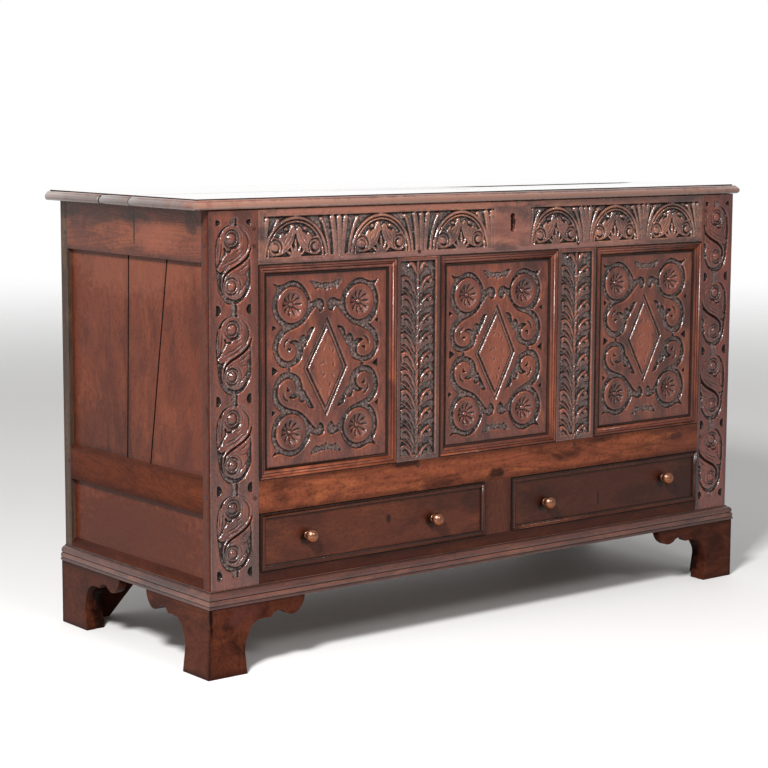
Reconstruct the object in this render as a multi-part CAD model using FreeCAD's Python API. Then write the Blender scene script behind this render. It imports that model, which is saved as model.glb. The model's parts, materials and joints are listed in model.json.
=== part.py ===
"""Mule chest: a panelled oak chest over two drawers, on bracket feet.

Millimetres, +Z up, front towards -Y.  While it is being modelled the carcase stands centred on
X = 0 and Y = 0 with its feet on Z = 0.  Each node is then moved so that the origin is the middle
of the base of the whole chest.
"""
import FreeCAD
import Part
import os

from FreeCAD import Vector

# --- Driving dimensions ---------------------------------------------------------------------

# Carcase
WIDTH = 1400.0
DEPTH = 538.0
CARCASE_BOTTOM = 130.0
CARCASE_TOP = 868.0
FRAME = 25.0

# Front frame, widths from left to right
STILE_LEFT = 110.0
STILE_RIGHT = 98.0
PANEL_LEFT = 330.0
PANEL_MIDDLE = 321.0
MUNTIN = 109.0
DRAWER_OPENING_LEFT = 564.0
DRAWER_MUNTIN = 71.0

# Front frame, heights above the floor
DRAWER_LOW = 184.0
DRAWER_HIGH = 297.0
PANEL_LOW = 359.0
PANEL_HIGH = 765.0

# End frames, heights above the floor
END_BOTTOM_RAIL_TOP = 179.0
END_MIDDLE_RAIL_LOW = 303.0
END_MIDDLE_RAIL_TOP = 373.0
END_TOP_RAIL_LOW = 772.0
END_CHAMFER = 11.0

# Back frame
BACK_STILE = 90.0
BACK_MUNTIN = 90.0
BACK_MUNTIN_X = 205.0

# Joinery
TENON_NEAR = 8.0
TENON_FAR = 17.0
TENON_SHOULDER = 10.0
MUNTIN_SHOULDER = 14.0
RAIL_TENON = 30.0
MUNTIN_TENON = 25.0
SHORT_TENON = 18.0
GROOVE = 8.0
END_NEAR = 9.0
END_FAR = 19.0
PEG_RADIUS = 4.0
PEG_PROUD = 0.6
PEG_SETBACK = 10.0
FIT_GAP = 0.05

# Panels
PANEL_RECESS = 8.0
PANEL_THICK = 14.0
PANEL_TONGUE = 8.0
PANEL_SLACK = 1.0
LOZENGE_HALF_WIDTH = 52.0
LOZENGE_HALF_HEIGHT = 96.0
LOZENGE_RISE = 3.0
MOULDING_WIDTH = 22.0

# End boards: the joints between them have opened
BOARD_GAP = 4.0
BACK_GAP_LOW_Y = 37.0
BACK_GAP_HIGH_Y = 24.0
FRONT_GAP_LOW_Y = -47.0
FRONT_GAP_HIGH_Y = -115.0

# Floor of the chest
FLOOR_LOW = 303.0
FLOOR_THICK = 12.0
FLOOR_BOARDS = 5
FLOOR_SLACK = 1.0

# Drawers
SLIDE_GAP = 0.5
SIDE_GAP = 1.5
DRAWER_FACE_RECESS = 2.0
DRAWER_FRONT_THICK = 22.0
DRAWER_FRONT_HEIGHT = 111.0
DRAWER_SIDE_THICK = 10.0
DRAWER_SIDE_HEIGHT = 100.0
DRAWER_BACK_Y = 215.0
DRAWER_SIDE_END = 247.0
DRAWER_BOTTOM_THICK = 6.0
DRAWER_BOTTOM_LIFT = 7.0
DOVETAIL_LENGTH = 12.0
DOVETAIL_NARROW = 18.0
DOVETAIL_WIDE = 24.0
DOVETAILS = 3
EDGING_WIDTH = 11.0
KNOB_RADIUS = 14.0
KNOB_WIDEST = 14.5
KNOB_PROJECTION = 26.0
KNOB_NECK_RADIUS = 5.5
KNOB_ROSE_RADIUS = 8.5
KNOB_SPIGOT_RADIUS = 3.0
KNOB_SPIGOT_LENGTH = 14.0
KNOBS_LEFT = ((-476.0, 242.0), (-162.0, 236.0))
KNOBS_RIGHT = ((144.0, 234.0), (498.0, 248.0))

# Runners
RUNNER_THICK = 25.0
RUNNER_LEDGE = 29.0
RUNNER_OUTER = 50.0
GUIDE_RISE = 26.0
RUNNER_STUB = 7.0

# Base moulding and bracket feet
MOULDING_HIGH = 162.0
FOOT_PROUD = 10.5
BRACKET_THICK = 20.0
FOOT_WIDTH = 88.0
FOOT_WIDTH_BACK = 98.0
FOOT_SPLAY = 11.0
BRACKET_FRONT_LEFT = 219.0
BRACKET_FRONT_RIGHT = 236.0
BRACKET_SIDE_FRONT = 223.0
BRACKET_SIDE_BACK = 226.0
BRACE_WIDTH = 100.0
BRACE_LENGTH = 230.0
BLOCK = 22.0
BLOCK_SHY = 2.0

# Lid: it has crept a little to the left
LID_LEFT = -735.0
LID_RIGHT = 714.0
LID_FRONT = -275.0
LID_GAP = 1.0
LID_THICK = 20.0
LID_JOINT_Y = 60.0
LID_TONGUE = 8.0
LID_TONGUE_THICK = 6.0

# Hinges
HINGE_X = (-420.0, 420.0)
HINGE_WIDTH = 60.0
HINGE_LEAF = 2.0
HINGE_LEAF_DEPTH = 24.0
KNUCKLE_RADIUS = 3.5
KNUCKLE_SETBACK = 4.0
KNUCKLES = 5
KNUCKLE_GAP = 0.5
PIN_RADIUS = 1.75
SCREW_HEAD = 3.6
SCREW_SHANK = 1.8
SCREW_LENGTH = 14.0

# Lock
LOCK_X = 42.0
KEYHOLE_HIGH = 843.0
KEYHOLE_LOW = 805.0
KEYHOLE_TOP_RADIUS = 6.5
KEYHOLE_LOW_RADIUS = 6.0
KEYHOLE_WAIST = 8.0
LOCK_WIDTH = 60.0
LOCK_HEIGHT = 65.0
LOCK_DEPTH = 12.0
LOCK_WALL = 2.0
LOCK_PLATE_WIDTH = 90.0
LOCK_PLATE_HEIGHT = 78.0
BOLT_HIGH = 856.0
BOLT_HEIGHT = 5.0
BOLT_THICK = 3.2
BOLT_LENGTH = 21.0
STAPLE_THICK = 4.0
STAPLE_WIDTH = 6.8
STAPLE_DROP = 21.0

# --- Places that follow from them -----------------------------------------------------------

FRONT = -DEPTH / 2
BACK = DEPTH / 2
INNER_FRONT = FRONT + FRAME
INNER_BACK = BACK - FRAME
LEFT = -WIDTH / 2
RIGHT = WIDTH / 2

PANEL_RIGHT = WIDTH - STILE_LEFT - STILE_RIGHT - PANEL_LEFT - PANEL_MIDDLE - 2 * MUNTIN
OPENING_LEFT = LEFT + STILE_LEFT
OPENING_RIGHT = RIGHT - STILE_RIGHT
MUNTIN_LEFT_X = OPENING_LEFT + PANEL_LEFT
MIDDLE_X = MUNTIN_LEFT_X + MUNTIN
MUNTIN_RIGHT_X = MIDDLE_X + PANEL_MIDDLE
RIGHT_X = MUNTIN_RIGHT_X + MUNTIN
FRONT_PANELS = {
    "left": (OPENING_LEFT, MUNTIN_LEFT_X),
    "middle": (MIDDLE_X, MUNTIN_RIGHT_X),
    "right": (RIGHT_X, RIGHT_X + PANEL_RIGHT),
}
FRONT_RAILS = {
    "top": (PANEL_HIGH, CARCASE_TOP),
    "middle": (DRAWER_HIGH, PANEL_LOW),
    "bottom": (CARCASE_BOTTOM, DRAWER_LOW),
}
DRAWER_MUNTIN_X = OPENING_LEFT + DRAWER_OPENING_LEFT
DRAWERS = {
    "left": (OPENING_LEFT, DRAWER_MUNTIN_X, KNOBS_LEFT),
    "right": (DRAWER_MUNTIN_X + DRAWER_MUNTIN, OPENING_RIGHT, KNOBS_RIGHT),
}
BACK_LEFT = LEFT + BACK_STILE
BACK_RIGHT = RIGHT - BACK_STILE
BACK_RAILS = {
    "top": (END_TOP_RAIL_LOW, CARCASE_TOP),
    "middle": (DRAWER_HIGH, PANEL_LOW),
    "bottom": (CARCASE_BOTTOM, DRAWER_LOW),
}
END_RAILS = {
    "top": (END_TOP_RAIL_LOW, CARCASE_TOP),
    "middle": (END_MIDDLE_RAIL_LOW, END_MIDDLE_RAIL_TOP),
    "bottom": (CARCASE_BOTTOM, END_BOTTOM_RAIL_TOP),
}
LID_BOTTOM = CARCASE_TOP + LID_GAP
LID_TOP = LID_BOTTOM + LID_THICK
HINGE_Y = BACK + KNUCKLE_SETBACK
HINGE_Z = CARCASE_TOP + LID_GAP / 2
LEAF_FRONT_Y = BACK - HINGE_LEAF_DEPTH
DRAWER_FACE = FRONT + DRAWER_FACE_RECESS
DRAWER_FLOOR = DRAWER_LOW + SLIDE_GAP
LOCK_FRONT = INNER_FRONT - LOCK_DEPTH
LOCK_LOW = CARCASE_TOP - LOCK_HEIGHT
LOCK_MIDDLE_Y = INNER_FRONT - 5.5
ORIGIN = Vector((LID_LEFT + LID_RIGHT) / 2, (DRAWER_FACE - KNOB_PROJECTION + HINGE_Y + KNUCKLE_RADIUS) / 2, 0)

UP = Vector(0, 0, 1)
RIGHTWARDS = Vector(1, 0, 0)
BACKWARDS = Vector(0, 1, 0)


# --- Small shapes ---------------------------------------------------------------------------

def box(x0, x1, y0, y1, z0, z1):
    """A block between two corners."""
    return Part.makeBox(x1 - x0, y1 - y0, z1 - z0, Vector(x0, y0, z0))


def join(shapes):
    """One solid from several that touch or overlap."""
    whole = shapes[0].multiFuse(shapes[1:]) if len(shapes) > 1 else shapes[0]
    return whole.removeSplitter()


def carve(shape, tools):
    """The shape with the tools cut out of it."""
    return shape.cut(list(tools)).removeSplitter() if tools else shape


def prism(points, direction):
    """A polygon given by its corners, pushed out along a direction."""
    return Part.Face(Part.makePolygon(points + [points[0]])).extrude(direction)


def outline(steps, place):
    """A closed wire from plane points: two-value steps are lines, four-value steps are arcs
    through a middle point.  place turns a plane point into a vector."""
    edges = []
    start = place(*steps[0])
    here = start
    for step in steps[1:]:
        there = place(*step[-2:])
        if len(step) == 4:
            edges.append(Part.Arc(here, place(*step[:2]), there).toShape())
        else:
            edges.append(Part.makeLine(here, there))
        here = there
    edges.append(Part.makeLine(here, start))
    return Part.Wire(edges)


def mirrored(shape):
    """The same piece for the right-hand end."""
    return shape.mirror(Vector(0, 0, 0), RIGHTWARDS)


def face_box(side, x0, x1, z0, z1, near=0.0, far=FRAME):
    """A block in the front (side -1) or back (side 1) frame, by its depths from that face."""
    depths = sorted((side * (BACK - near), side * (BACK - far)))
    return box(x0, x1, depths[0], depths[1], z0, z1)


def end_box(y0, y1, z0, z1, near=0.0, far=FRAME):
    """A block in the left end frame, by its depths from the outer face."""
    return box(LEFT + near, LEFT + far, y0, y1, z0, z1)


# --- Tenons, grooves and pegs ---------------------------------------------------------------

def rail_tenons(side, left, right, low, high):
    """The two end tenons of a rail in the front or back frame."""
    z0 = low + TENON_SHOULDER
    z1 = high - TENON_SHOULDER
    spans = ((left - RAIL_TENON, left), (right, right + RAIL_TENON))
    return [face_box(side, x0, x1, z0, z1, TENON_NEAR, TENON_FAR) for x0, x1 in spans]


def muntin_tenons(side, left, right, low, high, length):
    """The top and bottom tenons of an upright between two rails."""
    x0 = left + MUNTIN_SHOULDER
    x1 = right - MUNTIN_SHOULDER
    spans = ((low - length, low), (high, high + length))
    return [face_box(side, x0, x1, z0, z1, TENON_NEAR, TENON_FAR) for z0, z1 in spans]


def end_tenons(low, high):
    """The two end tenons of a rail in the left end frame."""
    z0 = low + TENON_SHOULDER
    z1 = high - TENON_SHOULDER
    spans = ((INNER_FRONT - SHORT_TENON, INNER_FRONT), (INNER_BACK, INNER_BACK + SHORT_TENON))
    return [end_box(y0, y1, z0, z1, END_NEAR, END_FAR) for y0, y1 in spans]


def all_tenons(side, rails, left, right):
    """Every rail tenon of the front or back frame."""
    found = []
    for low, high in rails.values():
        found += rail_tenons(side, left, right, low, high)
    return found


def all_end_tenons():
    """Every rail tenon of the left end frame."""
    found = []
    for low, high in END_RAILS.values():
        found += end_tenons(low, high)
    return found


def front_grooves():
    """The grooves round the three front panels, as wide as the panels' tongues."""
    near = TENON_NEAR
    return [
        face_box(-1, x0 - GROOVE, x1 + GROOVE, PANEL_LOW - GROOVE, PANEL_HIGH + GROOVE,
                 near, near + PANEL_TONGUE)
        for x0, x1 in FRONT_PANELS.values()
    ]


def back_openings():
    """The four openings of the back frame: three above and one long one below."""
    left_edge = -BACK_MUNTIN_X - BACK_MUNTIN / 2
    left_inner = -BACK_MUNTIN_X + BACK_MUNTIN / 2
    return [
        (BACK_LEFT, left_edge, PANEL_LOW, END_TOP_RAIL_LOW),
        (left_inner, -left_inner, PANEL_LOW, END_TOP_RAIL_LOW),
        (-left_edge, BACK_RIGHT, PANEL_LOW, END_TOP_RAIL_LOW),
        (BACK_LEFT, BACK_RIGHT, DRAWER_LOW, DRAWER_HIGH),
    ]


def back_grooves():
    """The grooves round the back panels."""
    return [
        face_box(1, x0 - GROOVE, x1 + GROOVE, z0 - GROOVE, z1 + GROOVE,
                 TENON_NEAR, TENON_NEAR + PANEL_TONGUE)
        for x0, x1, z0, z1 in back_openings()
    ]


def end_grooves():
    """The grooves round the upper and lower panels of the left end."""
    spans = ((END_MIDDLE_RAIL_TOP, END_TOP_RAIL_LOW), (END_BOTTOM_RAIL_TOP, END_MIDDLE_RAIL_LOW))
    return [
        end_box(INNER_FRONT - GROOVE, INNER_BACK + GROOVE, z0 - GROOVE, z1 + GROOVE, END_NEAR, END_FAR)
        for z0, z1 in spans
    ]


def floor_groove(side):
    """The groove for the floor boards, in the inner face of a middle rail."""
    left = OPENING_LEFT if side < 0 else BACK_LEFT
    right = OPENING_RIGHT if side < 0 else BACK_RIGHT
    return face_box(side, left, right, FLOOR_LOW, FLOOR_LOW + FLOOR_THICK, FRAME - GROOVE, FRAME)


def peg_heights(low, high):
    """One peg in a narrow rail, two in a wide one."""
    middle = (low + high) / 2
    return (middle,) if high - low < 80 else (middle - 16, middle + 16)


def peg_proud(z):
    """How far a peg stands out: those behind the base moulding are flush."""
    return PEG_PROUD if z > MOULDING_HIGH else 0.0


def face_peg(side, x, z, radius):
    """A peg through the thickness of the front or back frame."""
    proud = peg_proud(z)
    start = Vector(x, side * (BACK + proud), z)
    return Part.makeCylinder(radius, FRAME + proud, start, BACKWARDS * -side)


def end_peg(side, y, z, radius):
    """A peg through the edge of a corner post from an end."""
    proud = peg_proud(z)
    start = Vector(side * (RIGHT + proud), y, z)
    return Part.makeCylinder(radius, FRAME + proud, start, RIGHTWARDS * -side)


def pegs(radius):
    """Every peg of the four frames."""
    found = []
    for low, high in FRONT_RAILS.values():
        for z in peg_heights(low, high):
            found.append(face_peg(-1, OPENING_LEFT - PEG_SETBACK, z, radius))
            found.append(face_peg(-1, OPENING_RIGHT + PEG_SETBACK, z, radius))
    for low, high in BACK_RAILS.values():
        for z in peg_heights(low, high):
            found.append(face_peg(1, BACK_LEFT - PEG_SETBACK, z, radius))
            found.append(face_peg(1, BACK_RIGHT + PEG_SETBACK, z, radius))
    for x0 in (MUNTIN_LEFT_X, MUNTIN_RIGHT_X):
        for z in (PANEL_LOW - PEG_SETBACK, PANEL_HIGH + PEG_SETBACK):
            found.append(face_peg(-1, x0 + MUNTIN / 2, z, radius))
    for low, high in END_RAILS.values():
        for z in peg_heights(low, high):
            for side in (-1, 1):
                found.append(end_peg(side, INNER_FRONT - PEG_SETBACK, z, radius))
                found.append(end_peg(side, INNER_BACK + PEG_SETBACK, z, radius))
    return found


def peg_holes():
    """The holes for the pegs."""
    return pegs(PEG_RADIUS + FIT_GAP)


# --- Front frame ----------------------------------------------------------------------------

def front_stile(left_end):
    """A front corner post: a board as wide as its carved face, seen edge-on from the end."""
    x0, x1 = (LEFT, OPENING_LEFT) if left_end else (OPENING_RIGHT, RIGHT)
    blank = face_box(-1, x0, x1, CARCASE_BOTTOM, CARCASE_TOP)
    end_cuts = all_end_tenons() + end_grooves()
    if not left_end:
        end_cuts = [mirrored(tool) for tool in end_cuts]
    cuts = all_tenons(-1, FRONT_RAILS, OPENING_LEFT, OPENING_RIGHT) + front_grooves()
    return carve(blank, cuts + end_cuts + peg_holes())


def front_rail(name, cuts):
    """A rail of the front frame with its tenons, less the given cuts."""
    low, high = FRONT_RAILS[name]
    bar = face_box(-1, OPENING_LEFT, OPENING_RIGHT, low, high)
    whole = join([bar] + rail_tenons(-1, OPENING_LEFT, OPENING_RIGHT, low, high))
    return carve(whole, list(cuts) + peg_holes())


def upright_tenons():
    """The tenons of the two carved muntins."""
    found = []
    for x0 in (MUNTIN_LEFT_X, MUNTIN_RIGHT_X):
        found += muntin_tenons(-1, x0, x0 + MUNTIN, PANEL_LOW, PANEL_HIGH, MUNTIN_TENON)
    return found


def drawer_muntin_tenons():
    """The tenons of the upright between the drawers."""
    x0 = DRAWER_MUNTIN_X
    return muntin_tenons(-1, x0, x0 + DRAWER_MUNTIN, DRAWER_LOW, DRAWER_HIGH, SHORT_TENON)


def keyhole(y0, y1):
    """The keyhole: a round top, a narrow waist and a round foot, between two depths."""
    depth = y1 - y0
    high = KEYHOLE_HIGH - KEYHOLE_TOP_RADIUS
    low = KEYHOLE_LOW + KEYHOLE_LOW_RADIUS
    top = Part.makeCylinder(KEYHOLE_TOP_RADIUS, depth, Vector(LOCK_X, y0, high), BACKWARDS)
    foot = Part.makeCylinder(KEYHOLE_LOW_RADIUS, depth, Vector(LOCK_X, y0, low), BACKWARDS)
    waist = box(LOCK_X - KEYHOLE_WAIST / 2, LOCK_X + KEYHOLE_WAIST / 2, y0, y1, low, high)
    return join([top, foot, waist])


def lock_recess():
    """The pocket for the lock in the inner face of the top rail, open upwards."""
    half = LOCK_WIDTH / 2
    return box(LOCK_X - half, LOCK_X + half, LOCK_FRONT, INNER_FRONT, LOCK_LOW, CARCASE_TOP)


def front_top_rail():
    """The top rail, with the keyhole and the pocket for the lock."""
    holes = [keyhole(FRONT, LOCK_FRONT), lock_recess()] + lock_screws(FIT_GAP)
    return front_rail("top", front_grooves() + upright_tenons() + holes)


def front_middle_rail():
    """The rail between the panels and the drawers."""
    cuts = front_grooves() + upright_tenons() + drawer_muntin_tenons() + [floor_groove(-1)]
    return front_rail("middle", cuts)


def front_bottom_rail():
    """The rail under the drawers."""
    return front_rail("bottom", drawer_muntin_tenons() + runner_stubs())


def front_muntin(x0):
    """A carved upright between two panels."""
    x1 = x0 + MUNTIN
    bar = face_box(-1, x0, x1, PANEL_LOW, PANEL_HIGH)
    tenons = muntin_tenons(-1, x0, x1, PANEL_LOW, PANEL_HIGH, MUNTIN_TENON)
    return carve(join([bar] + tenons), front_grooves() + peg_holes())


def drawer_muntin():
    """The upright between the drawers."""
    x0 = DRAWER_MUNTIN_X
    bar = face_box(-1, x0, x0 + DRAWER_MUNTIN, DRAWER_LOW, DRAWER_HIGH)
    return join([bar] + drawer_muntin_tenons())


def lozenge(x, z, grow):
    """A raised lozenge on the face of a panel, its size grown outwards by a margin."""
    face_y = FRONT + PANEL_RECESS
    half_width = LOZENGE_HALF_WIDTH + grow
    half_height = LOZENGE_HALF_HEIGHT + grow * LOZENGE_HALF_HEIGHT / LOZENGE_HALF_WIDTH
    corners = [(x, z + half_height), (x - half_width, z), (x, z - half_height), (x + half_width, z)]
    points = [Vector(px, face_y, pz) for px, pz in corners]
    return prism(points, Vector(0, -LOZENGE_RISE, 0))


def front_panel(x0, x1):
    """A front panel: a board with a tongue all round and a raised lozenge in the middle."""
    middle_x = (x0 + x1) / 2
    middle_z = (PANEL_LOW + PANEL_HIGH) / 2
    slack = PANEL_SLACK
    body = face_box(-1, x0, x1, PANEL_LOW, PANEL_HIGH, PANEL_RECESS, PANEL_RECESS + PANEL_THICK)
    reach = GROOVE - slack
    tongue = face_box(-1, x0 - reach, x1 + reach, PANEL_LOW - reach, PANEL_HIGH + reach,
                      TENON_NEAR, TENON_NEAR + PANEL_TONGUE)
    ring = lozenge(middle_x, middle_z, 0).cut(lozenge(middle_x, middle_z, -14))
    return join([body, tongue, ring])


def panel_moulding_profile():
    """Section of the applied moulding: inward from the frame, then outward from the panel."""
    steps = [
        (0, 0),
        (0, 4.6),
        (3.0, 9.0, 6.0, 5.6),
        (8.4, 7.2, 11.0, 4.8),
        (11.8, 4.8),
        (14.8, 4.6, 17.0, 2.2),
        (MOULDING_WIDTH, 1.4),
        (MOULDING_WIDTH, 0),
    ]
    return outline(steps, lambda s, h: Vector(0, -h, s))


def edging_profile():
    """Section of the strip round a drawer front: inward from its edge, then outward."""
    steps = [
        (0, 0),
        (0, 3.0),
        (1.5, 4.4, 3.0, 3.0),
        (5.2, 1.5, 8.0, 2.2),
        (9.3, 3.2, 10.6, 1.8),
        (EDGING_WIDTH, 0),
    ]
    return outline(steps, lambda s, h: Vector(0, -h, s))


def mitred_frame(profile, width, x0, x1, z0, z1, face_y):
    """Four strips with mitred ends, lying on a face at face_y, round a rectangle."""
    quarter_turns = (
        (x0, z0, x1 - x0, 0),
        (x1, z0, z1 - z0, -90),
        (x1, z1, x1 - x0, 180),
        (x0, z1, z1 - z0, 90),
    )
    reach = 20.0
    strips = []
    for x, z, length, angle in quarter_turns:
        bar = Part.Face(profile).extrude(RIGHTWARDS * length)
        corners = [(0, 0), (length, 0), (length - width, width), (width, width)]
        mitre = prism([Vector(px, -reach, pz) for px, pz in corners], BACKWARDS * (2 * reach))
        strip = bar.common(mitre)
        strip.rotate(Vector(0, 0, 0), BACKWARDS, angle)
        strip.translate(Vector(x, face_y, z))
        strips.append(strip)
    return Part.makeCompound(strips)


def panel_moulding(x0, x1):
    """The four mitred mouldings round a front panel."""
    profile = panel_moulding_profile()
    return mitred_frame(profile, MOULDING_WIDTH, x0, x1, PANEL_LOW, PANEL_HIGH, FRONT + PANEL_RECESS)


# --- Ends -----------------------------------------------------------------------------------

def end_rail(name):
    """A rail of the left end; the lower two have a chamfer on the upper outer arris."""
    low, high = END_RAILS[name]
    bar = end_box(INNER_FRONT, INNER_BACK, low, high)
    if name != "top":
        points = [Vector(LEFT, INNER_FRONT, high), Vector(LEFT + END_NEAR - 1, INNER_FRONT, high),
                  Vector(LEFT, INNER_FRONT, high - END_CHAMFER)]
        bar = bar.cut(prism(points, BACKWARDS * (INNER_BACK - INNER_FRONT)))
    whole = join([bar] + end_tenons(low, high))
    holes = [tool for tool in peg_holes() if tool.BoundBox.XMax < 0]
    return carve(whole, end_grooves() + holes)


def end_panels():
    """The upper panel of three upright boards, its joints open, and the low panel below it."""
    reach = GROOVE - PANEL_SLACK
    low = END_MIDDLE_RAIL_TOP - reach
    high = END_TOP_RAIL_LOW + reach
    front_y = INNER_FRONT - reach
    back_y = INNER_BACK + reach
    half = BOARD_GAP / 2
    edges = [
        (front_y, front_y, FRONT_GAP_LOW_Y - half, FRONT_GAP_HIGH_Y - half),
        (FRONT_GAP_LOW_Y + half, FRONT_GAP_HIGH_Y + half, BACK_GAP_LOW_Y - half, BACK_GAP_HIGH_Y - half),
        (BACK_GAP_LOW_Y + half, BACK_GAP_HIGH_Y + half, back_y, back_y),
    ]
    x = LEFT + END_NEAR
    boards = []
    for low_front, high_front, low_back, high_back in edges:
        points = [Vector(x, low_front, low), Vector(x, low_back, low),
                  Vector(x, high_back, high), Vector(x, high_front, high)]
        boards.append(prism(points, RIGHTWARDS * (END_FAR - END_NEAR)))
    boards.append(end_box(front_y, back_y, END_BOTTOM_RAIL_TOP - reach, END_MIDDLE_RAIL_LOW + reach,
                          END_NEAR, END_FAR))
    return Part.makeCompound(boards)


# --- Back -----------------------------------------------------------------------------------

def back_stile():
    """The left back corner post."""
    blank = face_box(1, LEFT, BACK_LEFT, CARCASE_BOTTOM, CARCASE_TOP)
    cuts = all_tenons(1, BACK_RAILS, BACK_LEFT, BACK_RIGHT) + back_grooves()
    return carve(blank, cuts + all_end_tenons() + end_grooves() + peg_holes())


def back_muntin_tenons():
    """The tenons of the two uprights of the back."""
    found = []
    for x in (-BACK_MUNTIN_X, BACK_MUNTIN_X):
        x0 = x - BACK_MUNTIN / 2
        found += muntin_tenons(1, x0, x0 + BACK_MUNTIN, PANEL_LOW, END_TOP_RAIL_LOW, MUNTIN_TENON)
    return found


def back_rail(name, cuts):
    """A rail of the back frame with its tenons, less the given cuts."""
    low, high = BACK_RAILS[name]
    bar = face_box(1, BACK_LEFT, BACK_RIGHT, low, high)
    whole = join([bar] + rail_tenons(1, BACK_LEFT, BACK_RIGHT, low, high))
    return carve(whole, back_grooves() + list(cuts) + peg_holes())


def back_muntins():
    """The two uprights of the back."""
    found = []
    for x in (-BACK_MUNTIN_X, BACK_MUNTIN_X):
        x0 = x - BACK_MUNTIN / 2
        x1 = x0 + BACK_MUNTIN
        bar = face_box(1, x0, x1, PANEL_LOW, END_TOP_RAIL_LOW)
        tenons = muntin_tenons(1, x0, x1, PANEL_LOW, END_TOP_RAIL_LOW, MUNTIN_TENON)
        found.append(carve(join([bar] + tenons), back_grooves()))
    return Part.makeCompound(found)


def back_panels():
    """The three plain upper panels and the long lower one."""
    reach = GROOVE - PANEL_SLACK
    return Part.makeCompound([
        face_box(1, x0 - reach, x1 + reach, z0 - reach, z1 + reach, TENON_NEAR, TENON_NEAR + PANEL_TONGUE)
        for x0, x1, z0, z1 in back_openings()
    ])


# --- Inside ---------------------------------------------------------------------------------

def floor_boards():
    """The floor of the chest: short boards from front to back, in the middle rails' grooves."""
    inner_left = LEFT + FRAME
    inner_right = RIGHT - FRAME
    pitch = (inner_right - inner_left) / FLOOR_BOARDS
    reach = GROOVE - FLOOR_SLACK
    high = FLOOR_LOW + FLOOR_THICK
    posts = [
        face_box(-1, LEFT, OPENING_LEFT, FLOOR_LOW, high),
        face_box(-1, OPENING_RIGHT, RIGHT, FLOOR_LOW, high),
        face_box(1, LEFT, BACK_LEFT, FLOOR_LOW, high),
        face_box(1, BACK_RIGHT, RIGHT, FLOOR_LOW, high),
    ]
    boards = []
    for index in range(FLOOR_BOARDS):
        x0 = inner_left + index * pitch + FLOOR_SLACK / 2
        x1 = inner_left + (index + 1) * pitch - FLOOR_SLACK / 2
        board = box(x0, x1, INNER_FRONT - reach, INNER_BACK + reach, FLOOR_LOW, high)
        boards.append(carve(board, posts))
    return Part.makeCompound(boards)


def runner_spans():
    """Each runner's left and right sides, and those of the guide on it."""
    return [
        (OPENING_LEFT - RUNNER_OUTER, OPENING_LEFT + RUNNER_LEDGE, OPENING_LEFT - RUNNER_OUTER, OPENING_LEFT),
        (DRAWER_MUNTIN_X - RUNNER_LEDGE, DRAWER_MUNTIN_X + DRAWER_MUNTIN + RUNNER_LEDGE,
         DRAWER_MUNTIN_X, DRAWER_MUNTIN_X + DRAWER_MUNTIN),
        (OPENING_RIGHT - RUNNER_LEDGE, OPENING_RIGHT + RUNNER_OUTER, OPENING_RIGHT,
         OPENING_RIGHT + RUNNER_OUTER),
    ]


def runner_stubs():
    """The stub tenons at both ends of each runner, in the bottom rails."""
    low = DRAWER_LOW - RUNNER_THICK + 7
    high = DRAWER_LOW - 7
    inset = 3.0
    found = []
    for x0, x1, guide_left, guide_right in runner_spans():
        left = max(x0, OPENING_LEFT) + inset
        right = min(x1, OPENING_RIGHT) - inset
        found.append(box(left, right, INNER_FRONT - RUNNER_STUB, INNER_FRONT, low, high))
        found.append(box(left, right, INNER_BACK, INNER_BACK + RUNNER_STUB, low, high))
    return found


def drawer_runners():
    """The three bearers under the drawers, each with a raised guide that keeps them straight."""
    low = DRAWER_LOW - RUNNER_THICK
    stubs = runner_stubs()
    runners = []
    for index, (x0, x1, guide_left, guide_right) in enumerate(runner_spans()):
        ledge = box(x0, x1, INNER_FRONT, INNER_BACK, low, DRAWER_LOW)
        guide = box(guide_left, guide_right, INNER_FRONT, INNER_BACK, DRAWER_LOW, DRAWER_LOW + GUIDE_RISE)
        runners.append(join([ledge, guide] + stubs[2 * index:2 * index + 2]))
    return Part.makeCompound(runners)


# --- Base moulding and feet -----------------------------------------------------------------

def base_profile(place):
    """Section of the base moulding: outward from the carcase, then up from the feet."""
    steps = [
        (0, 0),
        (11.2, 0),
        (13.0, 2.6, 11.4, 5.4),
        (10.6, 6.2),
        (12.0, 7.4),
        (12.0, 13.2),
        (11.2, 14.6),
        (8.6, 16.0),
        (10.2, 17.4),
        (9.9, 24.4, 4.4, 29.0),
        (2.0, 30.2),
        (2.0, MOULDING_HIGH - CARCASE_BOTTOM),
        (0, MOULDING_HIGH - CARCASE_BOTTOM),
    ]
    return outline(steps, place)


def base_mouldings():
    """The moulding along the front and both ends, mitred at the front corners."""
    reach = 30.0
    low = CARCASE_BOTTOM - 1
    up = UP * (MOULDING_HIGH - CARCASE_BOTTOM + 2)
    long_bar = Part.Face(base_profile(lambda p, h: Vector(LEFT - reach, FRONT - p, CARCASE_BOTTOM + h)))
    long_bar = long_bar.extrude(RIGHTWARDS * (WIDTH + 2 * reach))
    front_mitre = prism([Vector(LEFT, FRONT, low), Vector(LEFT - reach, FRONT - reach, low),
                         Vector(RIGHT + reach, FRONT - reach, low), Vector(RIGHT, FRONT, low)], up)
    side_bar = Part.Face(base_profile(lambda p, h: Vector(LEFT - p, FRONT - reach, CARCASE_BOTTOM + h)))
    side_bar = side_bar.extrude(BACKWARDS * (DEPTH + reach))
    side_mitre = prism([Vector(LEFT, FRONT, low), Vector(LEFT - reach, FRONT - reach, low),
                        Vector(LEFT - reach, BACK, low), Vector(LEFT, BACK, low)], up)
    side = side_bar.common(side_mitre)
    return Part.makeCompound([long_bar.common(front_mitre), side, mirrored(side)])


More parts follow.
